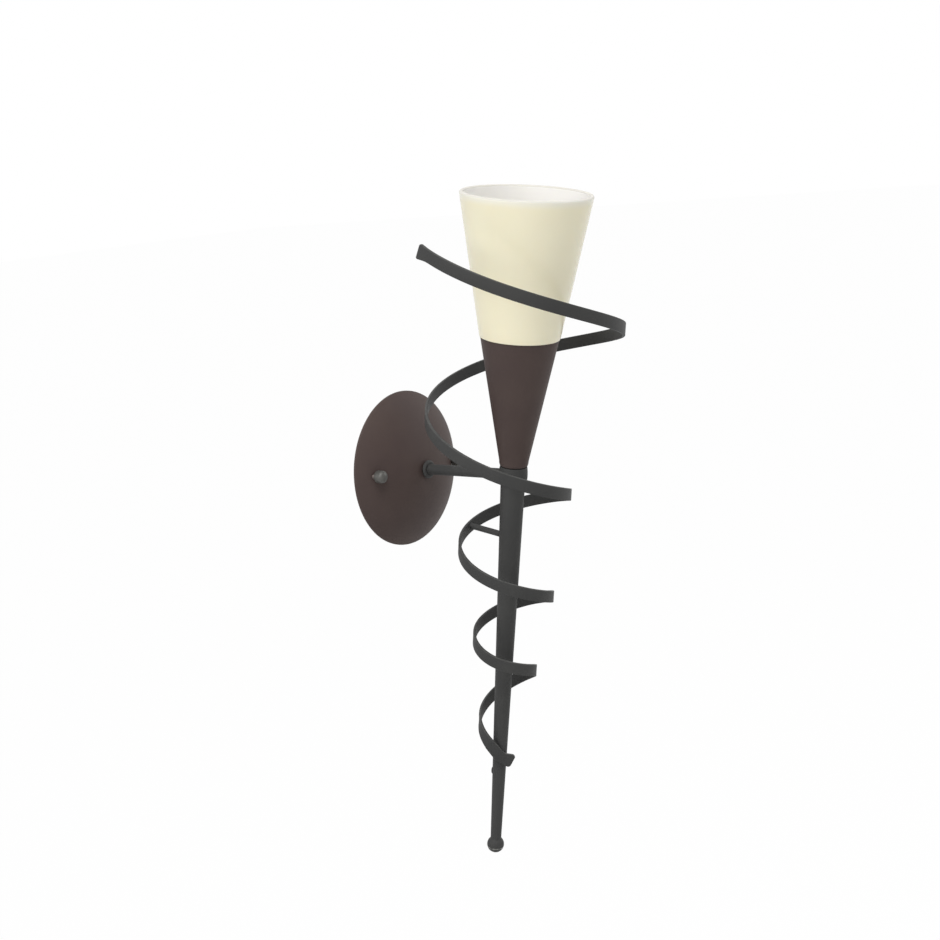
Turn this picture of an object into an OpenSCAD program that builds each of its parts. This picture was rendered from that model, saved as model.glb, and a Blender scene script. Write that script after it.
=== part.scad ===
// Torch wall sconce: a cone of glass in a spun metal cup, on a tapered stem with a spiral of flat band round
// it, held off a domed wall plate by a short arm.
// Origin: centre of the wall plate on the wall. +Z is up and the lamp stands out towards -Y.

/* [Wall plate] */
// Diameter of the domed wall plate at the wall
plate_d = 120; // [110:1:150]
// How far the dome stands off the wall
plate_depth = 22; // [21:0.5:28]
// Sheet thickness of the wall plate
plate_wall = 1.2; // [0.8:0.1:2]
// Straight lip round the plate before the dome starts
plate_lip = 1.5; // [0.5:0.5:2.5]

/* [Wall bracket] */
// Length of the bracket strip behind the plate
bracket_len = 110; // [104:1:112]
// Height of the bracket strip
bracket_h = 16; // [14:1:20]
// Thickness of the bracket strip
bracket_t = 2; // [1.5:0.5:2.5]
// Distance between the two studs that carry the plate
stud_spacing = 94; // [88:1:98]
// How far the line through the two studs is turned from level, in degrees, the left one up
stud_turn = 4.6; // [0:0.1:5]
// Diameter of the studs
stud_d = 4; // [3:0.5:5]
// Distance between the two wall screw slots
slot_spacing = 60; // [50:1:66]
// Width of the wall screw slots
slot_w = 5; // [4:0.5:6]
// End to end length of the wall screw slots
slot_len = 12; // [8:1:14]
// Diameter of the hole that the house cable comes through
cable_hole_d = 12; // [8:1:13]

/* [Cap nuts] */
// Diameter of the round cap nuts
nut_d = 9.6; // [8:0.2:11]
// Height of the cap nuts
nut_h = 8.4; // [7:0.2:10]

/* [Arm] */
// Distance from the wall to the torch axis at the arm
torch_out = 104; // [95:1:125]
// Outside diameter of the arm tube
arm_d = 8; // [7:0.5:9]
// Bore of the arm tube, which the wires run in
arm_bore_d = 5.6; // [5:0.2:6]
// Diameter of the collar where the arm leaves the plate
collar_d = 14; // [12:1:18]
// Thickness of that collar
collar_h = 3.2; // [2:0.2:5]
// Thickness of the lock nut on the arm inside the plate
lock_nut_h = 3.5; // [2.5:0.5:4]

/* [Stem] */
// Lean of the torch away from the wall, in degrees
torch_lean = 9.3; // [5:0.1:12]
// Diameter of the stem under the hub
stem_top_d = 18.2; // [15:0.2:19]
// Diameter of the stem at the ball
stem_end_d = 8.4; // [7:0.2:10]
// Length from the arm's level down to the centre of the ball
stem_drop = 307; // [290:1:330]
// Wall of the stem tube
stem_wall = 1.2; // [1:0.1:1.8]
// Diameter of the ball at the foot of the stem
ball_d = 13.4; // [12:0.2:16]

/* [Hub] */
// Diameter of the hub at its belly
hub_d = 21.4; // [20:0.2:24]
// Height of the hub
hub_h = 13; // [12:0.5:16]
// How much the hub narrows towards its ends, on the radius
hub_barrel = 0.6; // [0.2:0.1:1]

/* [Cup] */
// Diameter of the cup at its lower edge, above the rounded corner
cup_low_d = 21.8; // [21:0.2:24]
// Diameter of the cup at its rim
cup_rim_d = 57.3; // [55:0.5:62]
// Height of the cup's rim above the arm's level
cup_rim_z = 103.4; // [98:0.2:108]
// Height of the rounded corner under the cup
cup_corner = 3.6; // [2:0.2:5]
// Sheet thickness of the cup
cup_wall = 1; // [0.8:0.1:1.4]
// Thickness of the washer between hub and cup
cup_washer_t = 0.6; // [0.4:0.1:1.2]

/* [Glass shade] */
// Diameter of the glass at its mouth
glass_rim_d = 95.4; // [88:0.2:100]
// Height of the glass above the cup's rim
glass_h = 103.2; // [95:0.2:115]
// Wall of the glass
glass_wall = 3; // [2:0.2:3.4]
// How far the glass stands proud of the cup's rim
glass_proud = 0.6; // [0.2:0.1:1]
// Depth of the neck of the glass inside the cup
glass_neck = 17; // [12:1:20]

/* [Spiral band] */
// Distance of the band's free top end from the torch's axis
band_top_r = 84.5; // [80:0.5:90]
// Height of the free top end above the arm's level
band_top_z = 171; // [160:1:180]
// Depth of the weld at the band's foot below the arm's level
band_foot_drop = 228; // [220:1:240]
// Width of the flat band
band_w = 9; // [8:0.2:11]
// Thickness of the flat band
band_t = 2; // [1.8:0.1:2.8]
// Length of the free tail past the weld on the stem
tail_len = 10; // [6:1:14]
// Diameter of the pin that holds the band off the stem
pin_d = 4.6; // [4:0.2:5.4]
// How far the pin meets the band above the middle of its width
pin_rise = 0.8; // [0:0.2:2]

/* [Lampholder and lamp] */
// Height of the lampholder's base above the arm's level
holder_z = 34; // [32:0.5:37]
// Diameter of the lampholder
holder_d = 26; // [25:0.5:27]
// Height of the lampholder
holder_h = 36; // [36:0.5:38]
// Diameter of the lamp's screw cap
lamp_cap_d = 13.8; // [13.6:0.1:13.9]
// Diameter of the lamp's glass at its widest
lamp_d = 35; // [30:0.5:35]
// Length of the lamp's glass
lamp_glass_h = 80; // [60:1:84]

/* [Wiring] */
// Diameter of the insulated wires
wire_d = 1.7; // [1.4:0.1:1.8]
// Width of the terminal block
block_w = 24; // [22:1:28]
// Depth of the terminal block
block_t = 11; // [10:0.5:12]

/* [Hidden] */
$fn = 96;

// Clearance on the radius of pieces that are screwed or pushed together
fit_gap = 0.05;
// Clearance between fixed pieces and those that lift out
lift_gap = 0.3;
// Clearance between leaning faces that are welded flat together
seat_gap = 0.01;

// Dome: a slice of a sphere that meets the lip at the plate's edge
plate_r = plate_d / 2;
dome_h = plate_depth - plate_lip;
dome_r = (plate_r * plate_r + dome_h * dome_h) / (2 * dome_h);
dome_c = plate_depth - dome_r;
// Depth of the outside of the dome at a distance r from its middle
function dome_at(r) = dome_c + sqrt(dome_r * dome_r - r * r);
// Depth of the inside of the dome
function dome_in_at(r) = dome_c + sqrt(pow(dome_r - plate_wall, 2) - r * r);

stud_r = stud_d / 2;
stud_x = stud_spacing / 2;
nut_foot_in = 0.8;
nut_foot_h = 0.9;
nut_base_r = nut_d / 2 - nut_foot_in;
nut_dome_h = nut_d * 0.35;
nut_seat = dome_at(stud_x - nut_base_r);
nut_bore_h = nut_h * 0.7;

// Arm
arm_r = arm_d / 2;
arm_bore_r = arm_bore_d / 2;
arm_washer_t = 0.8;
tag_t = 0.6;
arm_washer_r = arm_r + 3;
arm_washer_y = dome_in_at(arm_washer_r) - arm_washer_t;
lock_nut_af = arm_d + 5;
lock_nut_y = arm_washer_y - tag_t - lock_nut_h;
arm_end_y = lock_nut_y - 2;
bush_flange_t = 1;
bush_y = arm_end_y - bush_flange_t;
bush_wall = 0.5;
bush_plug_h = 5;

// Torch, in its own leaning frame with z along its axis and zero at the arm's level
stem_r = stem_top_d / 2;
stem_end_r = stem_end_d / 2;
ball_r = ball_d / 2;
ball_seat = sqrt(ball_r * ball_r - pow(stem_end_r + 0.3, 2));
stem_top_z = -hub_h / 2;
stem_end_z = -stem_drop + ball_seat;
function stem_r_at(z) = stem_end_r + (stem_r - stem_end_r) * (z - stem_end_z) / (stem_top_z - stem_end_z);
spigot_h = 8;
ball_spigot_h = 8;
ball_foot_h = ball_r * 0.96;

hub_r = hub_d / 2;
nipple_r = 5;
nipple_bore_r = 3.5;
nipple_z = arm_bore_r + 0.8;
chamber_z = -arm_bore_r - 1;
wire_bend_r = 4.5;

cup_z = hub_h / 2 + cup_washer_t;
cup_low_z = cup_z + cup_corner;
cup_low_r = cup_low_d / 2;
cup_rim_r = cup_rim_d / 2;
cup_foot_r = cup_low_r - 1.1;
function cup_r_at(z) = cup_low_r + (cup_rim_r - cup_low_r) * (z - cup_low_z) / (cup_rim_z - cup_low_z);
cup_nut_h = 4;
cup_nut_af = 14;
nipple_end_z = holder_z + 6;

// Glass
glass_low_r = cup_rim_r + glass_proud;
glass_rim_r = glass_rim_d / 2;
glass_top_z = cup_rim_z + glass_h;
neck_low_z = cup_rim_z - glass_neck;
neck_top_r = cup_rim_r - cup_wall - lift_gap;
neck_low_r = cup_r_at(neck_low_z) - cup_wall - lift_gap;
function glass_r_at(z) = glass_low_r + (glass_rim_r - glass_low_r) * (z - cup_rim_z) / glass_h;
rim_round = glass_wall / 2;

// Lampholder: a base with the terminals, a partition, and a socket above it
holder_r = holder_d / 2;
holder_wall = 2.4;
base_h = 6;
terminal_room = 9;
partition_t = 3;
partition_z = holder_z + base_h + terminal_room;
socket_z = partition_z + partition_t;
holder_top_z = holder_z + holder_h;
cap_r = lamp_cap_d / 2;
shell_t = 0.4;
shell_in_r = cap_r + lift_gap;
shell_r = shell_in_r + shell_t;
contact_h = 3;
terminal_x = 7;
terminal_w = 4;
terminal_h = 5;
clamp_x = terminal_x - terminal_w / 2;
clamp_z = partition_z - terminal_h / 2;

// Lamp, from its contact up
lamp_z = socket_z + contact_h + lift_gap;
tip_h = 0.8;
insulator_h = 2.4;
lamp_cap_z = lamp_z + tip_h + insulator_h;
lamp_cap_h = 18;
cap_overlap = 1.5;
lamp_glass_z = lamp_cap_z + lamp_cap_h - cap_overlap;
lamp_glass_t = 0.8;
filament_stem_h = 14;
filament_h = 22;
lamp_neck_r = cap_r - 0.5;
lamp_neck_h = 2;
lamp_steps = 20;
lamp_r = lamp_d / 2;
// The power that sets the belly of the candle-shaped lamp low down
lamp_belly = 0.86;
// Radius of the lamp's glass at a share u of its height above the neck
function lamp_r_at(u) = lamp_neck_r * (1 - u) + (lamp_r - lamp_neck_r * 0.6) * sin(180 * pow(u, lamp_belly));

// Terminal block and wiring behind the plate
block_y = bracket_t;
block_z = 12;
block_h = 16;
pole_x = 5.5;
pole_depth = 6;
pole_y = block_y + pole_depth;
insert_r = 2.4;
insert_bore_r = 1.3;
insert_h = 12;
screw_r = 1.2;
tab_w = block_w + 2;
tab_top = block_z + block_h + 1;
earth_x = 18;
earth_screw_r = 2;
earth_head_h = 2.4;
wire_r = wire_d / 2;
pair_x = wire_r + fit_gap;
tag_x = arm_r + 6;
wire_lead = 4;
wire_end_gap = 0.2;
wire_rings = 6;

// Spiral band, at equal steps of angle from the free top end down to the weld: its radius as a share of the
// radius at the top, and how far it has come down as a share of the whole way
band_start = 156;
band_step = 136.5;
reach_shares = [1, 0.882, 0.852, 0.639, 0.462, 0.444, 0.444, 0.29, 0.284, 0.284, 0.229];
descent_shares = [0, 0.136, 0.277, 0.396, 0.486, 0.569, 0.638, 0.713, 0.771, 0.819, 0.916, 1];
weld_depth = 0.12;
tail_fall = 0.4;
rings_per_step = 12;
pin_angle = 810;
band_knots = len(descent_shares) - 1;
band_heights = [for (d = descent_shares) band_top_z - d * (band_top_z + band_foot_drop)];
weld_r = stem_r_at(-band_foot_drop) + band_t / 2 - weld_depth;
band_radii = concat([for (r = reach_shares) r * band_top_r], [weld_r]);

// A smooth curve through a list of values, at a place u counted in steps
function knot(v, i) = i < 0 ? 2 * v[0] - v[1] : i >= len(v) ? 2 * v[len(v) - 1] - v[len(v) - 2] : v[i];
function smooth_at(v, u) =
    let (i = min(floor(u), len(v) - 2), f = u - i,
         a = knot(v, i - 1), b = knot(v, i), c = knot(v, i + 1), d = knot(v, i + 2))
    (2 * b + (c - a) * f + (2 * a - 5 * b + 4 * c - d) * f * f + (3 * b - a - 3 * c + d) * f * f * f) / 2;
function band_u(angle) = (angle - band_start) / band_step;
function band_r_at(angle) = smooth_at(band_radii, band_u(angle));
function band_z_at(angle) = smooth_at(band_heights, band_u(angle));
function band_point(angle) =
    [band_r_at(angle) * cos(angle), band_r_at(angle) * sin(angle), band_z_at(angle)];
band_end = band_start + band_step * band_knots;
tail_dir = [-sin(band_end), cos(band_end), -tail_fall];
band_path = concat(
    [for (i = [0 : rings_per_step * band_knots]) band_point(band_start + i * band_step / rings_per_step)],
    [for (s = [0.5, 1]) band_point(band_end) + tail_dir * tail_len * s]);

function unit(v) = v / norm(v);
function path_dir(p, i) = unit(p[min(i + 1, len(p) - 1)] - p[max(i - 1, 0)]);

// A bar swept along a path; each ring is given as a list of [across, up] offsets
module sweep(path, section, up_hint) {
    n = len(section);
    m = len(path);
    points = [for (i = [0 : m - 1])
        let (t = path_dir(path, i), side = unit(cross(t, up_hint[i])), up = cross(side, t))
        for (q = section) path[i] + side * q[0] + up * q[1]];
    walls = [for (i = [0 : m - 2], j = [0 : n - 1])
        let (a = i * n + j, b = i * n + (j + 1) % n)
        for (f = [[a, b, b + n], [a, b + n, a + n]]) f];
    first = [for (j = [1 : n - 2]) [0, j + 1, j]];
    last = [for (j = [1 : n - 2]) let (k = (m - 1) * n) [k, k + j, k + j + 1]];
    polyhedron(points, concat(walls, first, last), convexity = 10);
}

// Places the torch's own frame in the lamp
module torch() {
    translate([0, -torch_out, 0]) rotate([torch_lean, 0, 0]) children();
}
// A point of the torch's frame in the lamp's frame
function torch_point(p) = [p[0],
    -torch_out + p[1] * cos(torch_lean) - p[2] * sin(torch_lean),
    p[1] * sin(torch_lean) + p[2] * cos(torch_lean)];

// Turns a piece drawn upwards so that it stands out from the wall
module off_wall() {
    rotate([90, 0, 0]) children();
}

// Puts a copy of a piece at each of the two studs
module at_studs() {
    for (side = [0, 180]) rotate([0, 0, side - stud_turn]) translate([-stud_x, 0, 0]) children();
}

module hexagon_bar(af, h) {
    linear_extrude(h) circle(r = af / sqrt(3), $fn = 6);
}

module wall_plate() color("#574b46") off_wall() difference() {
    rotate_extrude() difference() {
        union() {
            square([plate_r, plate_lip]);
            intersection() {
                translate([0, dome_c]) circle(dome_r, $fn = 200);
                translate([0, plate_lip]) square([plate_r, plate_depth]);
            }
        }
        translate([0, -1]) square([plate_r - plate_wall, plate_lip + 1]);
        intersection() {
            translate([0, dome_c]) circle(dome_r - plate_wall, $fn = 200);
            square([plate_r - plate_wall, plate_depth]);
        }
    }
    cylinder(r = arm_r + fit_gap, h = plate_depth + 1);
    at_studs() cylinder(r = stud_r + 0.3, h = plate_depth);
}

module wall_bracket() color("#b9bcc0") off_wall() difference() {
    union() {
        translate([-bracket_len / 2, -bracket_h / 2, 0]) cube([bracket_len, bracket_h, bracket_t]);
        translate([-tab_w / 2, 0, 0]) cube([tab_w, tab_top, bracket_t]);
    }
    translate([0, 0, -1]) at_studs() cylinder(r = stud_r + fit_gap, h = bracket_t + 2);
    for (side = [-1, 1])
        translate([side * slot_spacing / 2, 0, -1]) linear_extrude(bracket_t + 2) {
            square([slot_len - slot_w, slot_w], center = true);
            for (end = [-1, 1]) translate([end * (slot_len - slot_w) / 2, 0]) circle(d = slot_w);
        }
    translate([0, 0, -1]) cylinder(d = cable_hole_d, h = bracket_t + 2);
    translate([earth_x, 0, -1]) cylinder(r = earth_screw_r + fit_gap, h = bracket_t + 2);
    translate([0, block_z + block_h / 2, -1]) cylinder(r = screw_r + fit_gap, h = bracket_t + 2);
}

module bracket_studs() color("#a8a49a") off_wall()
    at_studs() cylinder(r = stud_r, h = nut_seat + nut_bore_h - 0.5);

module cap_nuts() color("#85847f") off_wall() translate([0, 0, nut_seat]) at_studs() difference() {
    rotate_extrude() polygon(concat([[0, 0], [nut_base_r, 0], [nut_d / 2, nut_foot_h]],
        [for (a = [0 : 10 : 90]) [nut_d / 2 * cos(a), nut_h - nut_dome_h * (1 - sin(a))]]));
    translate([0, 0, -1]) cylinder(r = stud_r + fit_gap, h = nut_bore_h + 1);
}

module arm_collar() color("#4b4845") off_wall() translate([0, 0, plate_depth]) difference() {
    rotate_extrude() polygon([[0, 0], [collar_d / 2, 0], [collar_d / 2, collar_h * 0.45],
        [collar_d / 2 - 0.5, collar_h * 0.8], [collar_d / 2 - 1.4, collar_h], [0, collar_h]]);
    translate([0, 0, -1]) cylinder(r = arm_r + fit_gap, h = collar_h + 2);
}

module arm_tube() color("#4b4a48") off_wall() difference() {
    translate([0, 0, arm_end_y]) cylinder(r = arm_r, h = torch_out - nipple_r - 0.4 - arm_end_y);
    cylinder(r = arm_bore_r, h = torch_out);
}

module arm_washer() color("#a8a49a") off_wall() translate([0, 0, arm_washer_y]) difference() {
    cylinder(r = arm_washer_r, h = arm_washer_t);
    translate([0, 0, -1]) cylinder(r = arm_r + fit_gap, h = arm_washer_t + 2);
}

module earth_tag() color("#c9a959") off_wall() translate([0, 0, lock_nut_y + lock_nut_h]) difference() {
    union() {
        cylinder(r = arm_r + 2.2, h = tag_t);
        translate([0, -1.8, 0]) cube([arm_r + 7, 3.6, tag_t]);
    }
    translate([0, 0, -1]) cylinder(r = arm_r + fit_gap, h = tag_t + 2);
}

module arm_lock_nut() color("#b4b2ac") off_wall() translate([0, 0, lock_nut_y]) difference() {
    hexagon_bar(lock_nut_af, lock_nut_h);
    translate([0, 0, -1]) cylinder(r = arm_r + fit_gap, h = lock_nut_h + 2);
}

module arm_bush() color("#e8e6df") off_wall() difference() {
    union() {
        translate([0, 0, bush_y]) cylinder(r = arm_r, h = bush_flange_t);
        translate([0, 0, arm_end_y]) cylinder(r = arm_bore_r - fit_gap, h = bush_plug_h);
    }
    cylinder(r = arm_bore_r - fit_gap - bush_wall, h = plate_depth + torch_out);
}

module hub() color("#4b4a48") torch() difference() {
    union() {
        rotate_extrude() polygon(concat([[0, -hub_h / 2]],
            [for (s = [-1 : 0.25 : 1]) [hub_r - hub_barrel * s * s, s * hub_h / 2]], [[0, hub_h / 2]]));
        translate([0, 0, stem_top_z - spigot_h])
            cylinder(r = stem_r_at(stem_top_z - spigot_h) - stem_wall - fit_gap, h = spigot_h + 1);
    }
    translate([0, 0, chamber_z]) cylinder(r = nipple_r + fit_gap, h = hub_h);
    rotate([-90 - torch_lean, 0, 0]) cylinder(r = arm_r + fit_gap, h = hub_d);
}

module stem() color("#474644") torch() rotate_extrude() polygon([
    [stem_r - stem_wall, stem_top_z], [stem_r, stem_top_z],
    [stem_end_r, stem_end_z], [stem_end_r - stem_wall, stem_end_z]]);

module ball_finial() color("#474644") torch() union() {
    translate([0, 0, -stem_drop]) intersection() {
        sphere(ball_r);
        translate([0, 0, -ball_foot_h]) cylinder(r = ball_r, h = ball_foot_h + ball_seat - seat_gap);
    }
    translate([0, 0, stem_end_z - 1])
        cylinder(r = stem_end_r - stem_wall - fit_gap, h = ball_spigot_h + 1);
}

module spiral_band() color("#464543") torch()
    sweep(band_path, [[-band_t / 2, -band_w / 2], [-band_t / 2, band_w / 2],
                      [band_t / 2, band_w / 2], [band_t / 2, -band_w / 2]],
          [for (p = band_path) [0, 0, 1]]);

module band_support_pin() color("#464543") torch() difference() {
    translate([0, 0, band_z_at(pin_angle) + pin_rise]) rotate([-90, 0, 0])
        cylinder(d = pin_d, h = band_r_at(pin_angle) - band_t / 2 + weld_depth);
    rotate_extrude() polygon([[0, stem_top_z], [stem_r, stem_top_z],
        [stem_end_r, stem_end_z], [0, stem_end_z]]);
}

module cup_washer() color("#2c2a28") torch() translate([0, 0, hub_h / 2]) difference() {
    cylinder(r = cup_foot_r - 0.6, h = cup_washer_t);
    translate([0, 0, -1]) cylinder(r = nipple_r + fit_gap, h = cup_washer_t + 2);
}

module cup() color("#4f4541") torch() rotate_extrude() polygon([
    [nipple_r + fit_gap, cup_z], [cup_foot_r, cup_z],
    for (a = [15 : 15 : 90])
        [cup_foot_r + (cup_low_r - cup_foot_r) * sin(a), cup_low_z - cup_corner * cos(a)],
    [cup_rim_r, cup_rim_z], [cup_rim_r - cup_wall, cup_rim_z],
    [cup_low_r - cup_wall, cup_low_z], [cup_foot_r - cup_wall * 0.6, cup_z + cup_wall],
    [nipple_r + fit_gap, cup_z + cup_wall]]);

module nipple() color("#b9bcc0") torch() difference() {
    translate([0, 0, nipple_z]) cylinder(r = nipple_r, h = nipple_end_z - nipple_z);
    cylinder(r = nipple_bore_r, h = nipple_end_z + 1);
}

module cup_nut() color("#b4b2ac") torch() translate([0, 0, cup_z + cup_wall]) difference() {
    hexagon_bar(cup_nut_af, cup_nut_h);
    translate([0, 0, -1]) cylinder(r = nipple_r + fit_gap, h = cup_nut_h + 2);
}

module lampholder_body() color("#efece4") torch() difference() {
    translate([0, 0, holder_z]) cylinder(r = holder_r, h = holder_h);
    translate([0, 0, holder_z - 1]) cylinder(r = nipple_r + fit_gap, h = base_h + 2);
    translate([0, 0, holder_z + base_h]) cylinder(r = holder_r - holder_wall, h = terminal_room);
    translate([0, 0, socket_z]) cylinder(r = shell_r + fit_gap, h = holder_h);
}

module lampholder_shell() color("#cdb06a") torch() translate([0, 0, socket_z]) difference() {
    cylinder(r = shell_r, h = holder_top_z - socket_z - 1);
    translate([0, 0, -1]) cylinder(r = shell_in_r, h = holder_h);
}

module lampholder_contact() color("#cdb06a") torch() translate([0, 0, socket_z]) {
    cylinder(r = 1.6, h = contact_h - 0.5);
    translate([0, 0, contact_h - 0.5]) cylinder(r = 2.6, h = 0.5);
}

module lampholder_terminals() color("#cdb06a") torch() {
    for (side = [-1, 1])
        translate([side * terminal_x - terminal_w / 2, -terminal_w / 2, partition_z - terminal_h])
            cube([terminal_w, terminal_w, terminal_h]);
}

module glass_shade() color("#e6dfc4") torch() rotate_extrude() polygon([
    [neck_low_r, neck_low_z], [neck_top_r, cup_rim_z], [glass_low_r, cup_rim_z],
    [glass_r_at(glass_top_z - rim_round), glass_top_z - rim_round],
    for (a = [30 : 30 : 150]) [glass_r_at(glass_top_z - rim_round) - rim_round + rim_round * cos(a),
                               glass_top_z - rim_round + rim_round * sin(a)],
    [glass_r_at(glass_top_z - rim_round) - glass_wall, glass_top_z - rim_round],
    [glass_low_r - glass_wall, cup_rim_z + glass_wall], [neck_top_r - glass_wall, cup_rim_z],
    [neck_low_r - glass_wall, neck_low_z]]);

module bulb_glass() color("#f2efe8") torch() translate([0, 0, lamp_glass_z]) {
    belly_h = lamp_glass_h - lamp_neck_h;
    rotate_extrude() polygon(concat(
        [[lamp_neck_r, 0]],
        [for (i = [0 : lamp_steps - 1]) let (u = i / lamp_steps) [lamp_r_at(u), lamp_neck_h + u * belly_h]],
        [[0, lamp_glass_h], [0, lamp_glass_h - lamp_glass_t * 2]],
        [for (i = [lamp_steps - 2 : -1 : 0]) let (u = i / lamp_steps)
            [lamp_r_at(u) - lamp_glass_t, lamp_neck_h + u * belly_h]],
        [[lamp_neck_r - lamp_glass_t, 0]]));
}

module bulb_cap() color("#c9c7c0") torch() translate([0, 0, lamp_cap_z]) rotate_extrude() polygon([
    [cap_r - 2, 0], [cap_r, 2], [cap_r, lamp_cap_h], [lamp_neck_r + fit_gap, lamp_cap_h],
    [lamp_neck_r + fit_gap, lamp_cap_h - cap_overlap], [cap_r - 1, lamp_cap_h - cap_overlap],
    [cap_r - 1, 2.4], [cap_r - 2.6, 0.6], [cap_r - 2.6, 0]]);

module bulb_insulator() color("#26262a") torch() translate([0, 0, lamp_z + tip_h])
    cylinder(r1 = 2.6, r2 = cap_r - 2, h = insulator_h);

module bulb_contact() color("#b9bcc0") torch() translate([0, 0, lamp_z])
    cylinder(r1 = 1.8, r2 = 2.4, h = tip_h);

module bulb_filament() color("#c7c3b6") torch() translate([0, 0, lamp_cap_z]) {
    cylinder(r = 2.2, h = lamp_cap_h + filament_stem_h);
    for (side = [-1, 1]) translate([side * 1.4, 0, lamp_cap_h + filament_stem_h - 1])
        cylinder(r = 0.3, h = filament_h);
    translate([-1.7, 0, lamp_cap_h + filament_stem_h - 1 + filament_h - 0.2])
        rotate([0, 90, 0]) cylinder(r = 0.5, h = 3.4);
}

module terminal_block() color("#ece9e1") off_wall() difference() {
    translate([-block_w / 2, block_z, block_y]) cube([block_w, block_h, block_t]);
    for (side = [-1, 1]) {
        translate([side * pole_x, block_z - 1, pole_y]) rotate([-90, 0, 0])
            cylinder(r = insert_r + fit_gap, h = block_h + 2);
        for (row = [-1, 1])
            translate([side * pole_x, block_z + block_h / 2 + row * insert_h / 4, pole_y])
                cylinder(r = screw_r + 0.4, h = block_t);
    }
    translate([0, block_z + block_h / 2, 0]) cylinder(r = screw_r + fit_gap, h = block_t + bracket_t + 1);
}

module terminal_inserts() color("#cdb06a") off_wall() {
    for (side = [-1, 1]) translate([side * pole_x, block_z + (block_h - insert_h) / 2, pole_y]) difference() {
        rotate([-90, 0, 0]) cylinder(r = insert_r, h = insert_h);
        translate([0, -1, 0]) rotate([-90, 0, 0]) cylinder(r = insert_bore_r, h = insert_h + 2);
        for (row = [1, 3]) translate([0, insert_h * row / 4, 0])
            cylinder(r = screw_r + fit_gap, h = insert_r + 1);
    }
}

module terminal_screws() color("#c9c7c0") off_wall() {
    for (side = [-1, 1], row = [-1, 1])
        translate([side * pole_x, block_z + block_h / 2 + row * insert_h / 4, pole_y + insert_bore_r])
            cylinder(r = screw_r, h = block_t - pole_depth - insert_bore_r - 0.6);
}

module block_screw() color("#c9c7c0") off_wall() translate([0, block_z + block_h / 2, 0]) {
    cylinder(r = screw_r, h = block_y + block_t);
    translate([0, 0, block_y + block_t]) cylinder(r1 = 2.4, r2 = 1.8, h = 1.2);
}

module earth_screw() color("#cdb06a") off_wall() translate([earth_x, 0, 0]) {
    cylinder(r = earth_screw_r, h = bracket_t);
    translate([0, 0, bracket_t]) cylinder(r = earth_screw_r * 1.8, h = earth_head_h);
}

module round_wire(path) {
    sweep(path, [for (a = [360 : -45 : 45]) [wire_r * cos(a), wire_r * sin(a)]],
          [for (i = [0 : len(path) - 1]) [1, 0, 0]]);
}

// A wire's run from a to d, which leaves a towards b and comes to d from c
function wire_run(a, b, c, d) = [for (i = [0 : wire_rings]) let (u = i / wire_rings, w = 1 - u)
    w * w * w * a + 3 * w * w * u * b + 3 * w * u * u * c + u * u * u * d];

// One of the two lamp wires, from the terminal block through the arm and the nipple to the lampholder
function lamp_wire(side) = concat(
    [[side * pole_x, -pole_y, block_z + wire_lead]],
    wire_run([side * pole_x, -pole_y, block_z], [side * pole_x, -pole_y, block_z - wire_lead],
             [side * pair_x, wire_lead - bush_y, 0], [side * pair_x, -bush_y, 0]),
    [[side * pair_x, 2 * wire_bend_r - torch_out, 0]],
    [for (a = [15 : 15 : 90])
        torch_point([side * pair_x, wire_bend_r * (1 - sin(a)), wire_bend_r * (1 - cos(a))])],
    wire_run(torch_point([side * pair_x, 0, nipple_end_z]),
             torch_point([side * pair_x, 0, nipple_end_z + wire_lead]),
             torch_point([side * pair_x, 0, clamp_z]),
             torch_point([side * (clamp_x - wire_end_gap), 0, clamp_z])));

module live_wire() color("#7a4a2c") round_wire(lamp_wire(-1));
module neutral_wire() color("#3f6fa8") round_wire(lamp_wire(1));

module earth_wire() color("#7fae3c") {
    tag_y = -lock_nut_y - lock_nut_h + wire_end_gap;
    head_y = -bracket_t - earth_head_h - wire_end_gap;
    path = wire_run([tag_x, tag_y, 0], [tag_x, tag_y + 2 * wire_lead, 0],
                    [earth_x, head_y - 2 * wire_lead, 0], [earth_x, head_y, 0]);
    sweep(path, [for (a = [360 : -45 : 45]) [wire_r * cos(a), wire_r * sin(a)]], [for (p = path) [0, 0, 1]]);
}

wall_plate();
wall_bracket();
bracket_studs();
cap_nuts();
arm_collar();
arm_tube();
arm_washer();
arm_lock_nut();
arm_bush();
hub();
stem();
ball_finial();
spiral_band();
band_support_pin();
cup_washer();
cup();
nipple();
cup_nut();
lampholder_body();
lampholder_shell();
lampholder_contact();
lampholder_terminals();
glass_shade();
bulb_glass();
bulb_cap();
bulb_insulator();
bulb_contact();
bulb_filament();
terminal_block();
terminal_inserts();
terminal_screws();
block_screw();
earth_screw();
earth_tag();
live_wire();
neutral_wire();
earth_wire();
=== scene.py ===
# Torch wall sconce, dressed for the render. A cone of cased cream glass stands in a spun cup on a leaning
# tapered stem, with a spiral of flat steel band wound round it, held off a domed wall plate by a short arm.
# Lengths are in millimetres and are turned into metres as each mesh is made.
from math import asin, cos, degrees, pi, radians, sin, sqrt, tan

import bmesh
import bpy
from mathutils import Matrix, Vector


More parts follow.
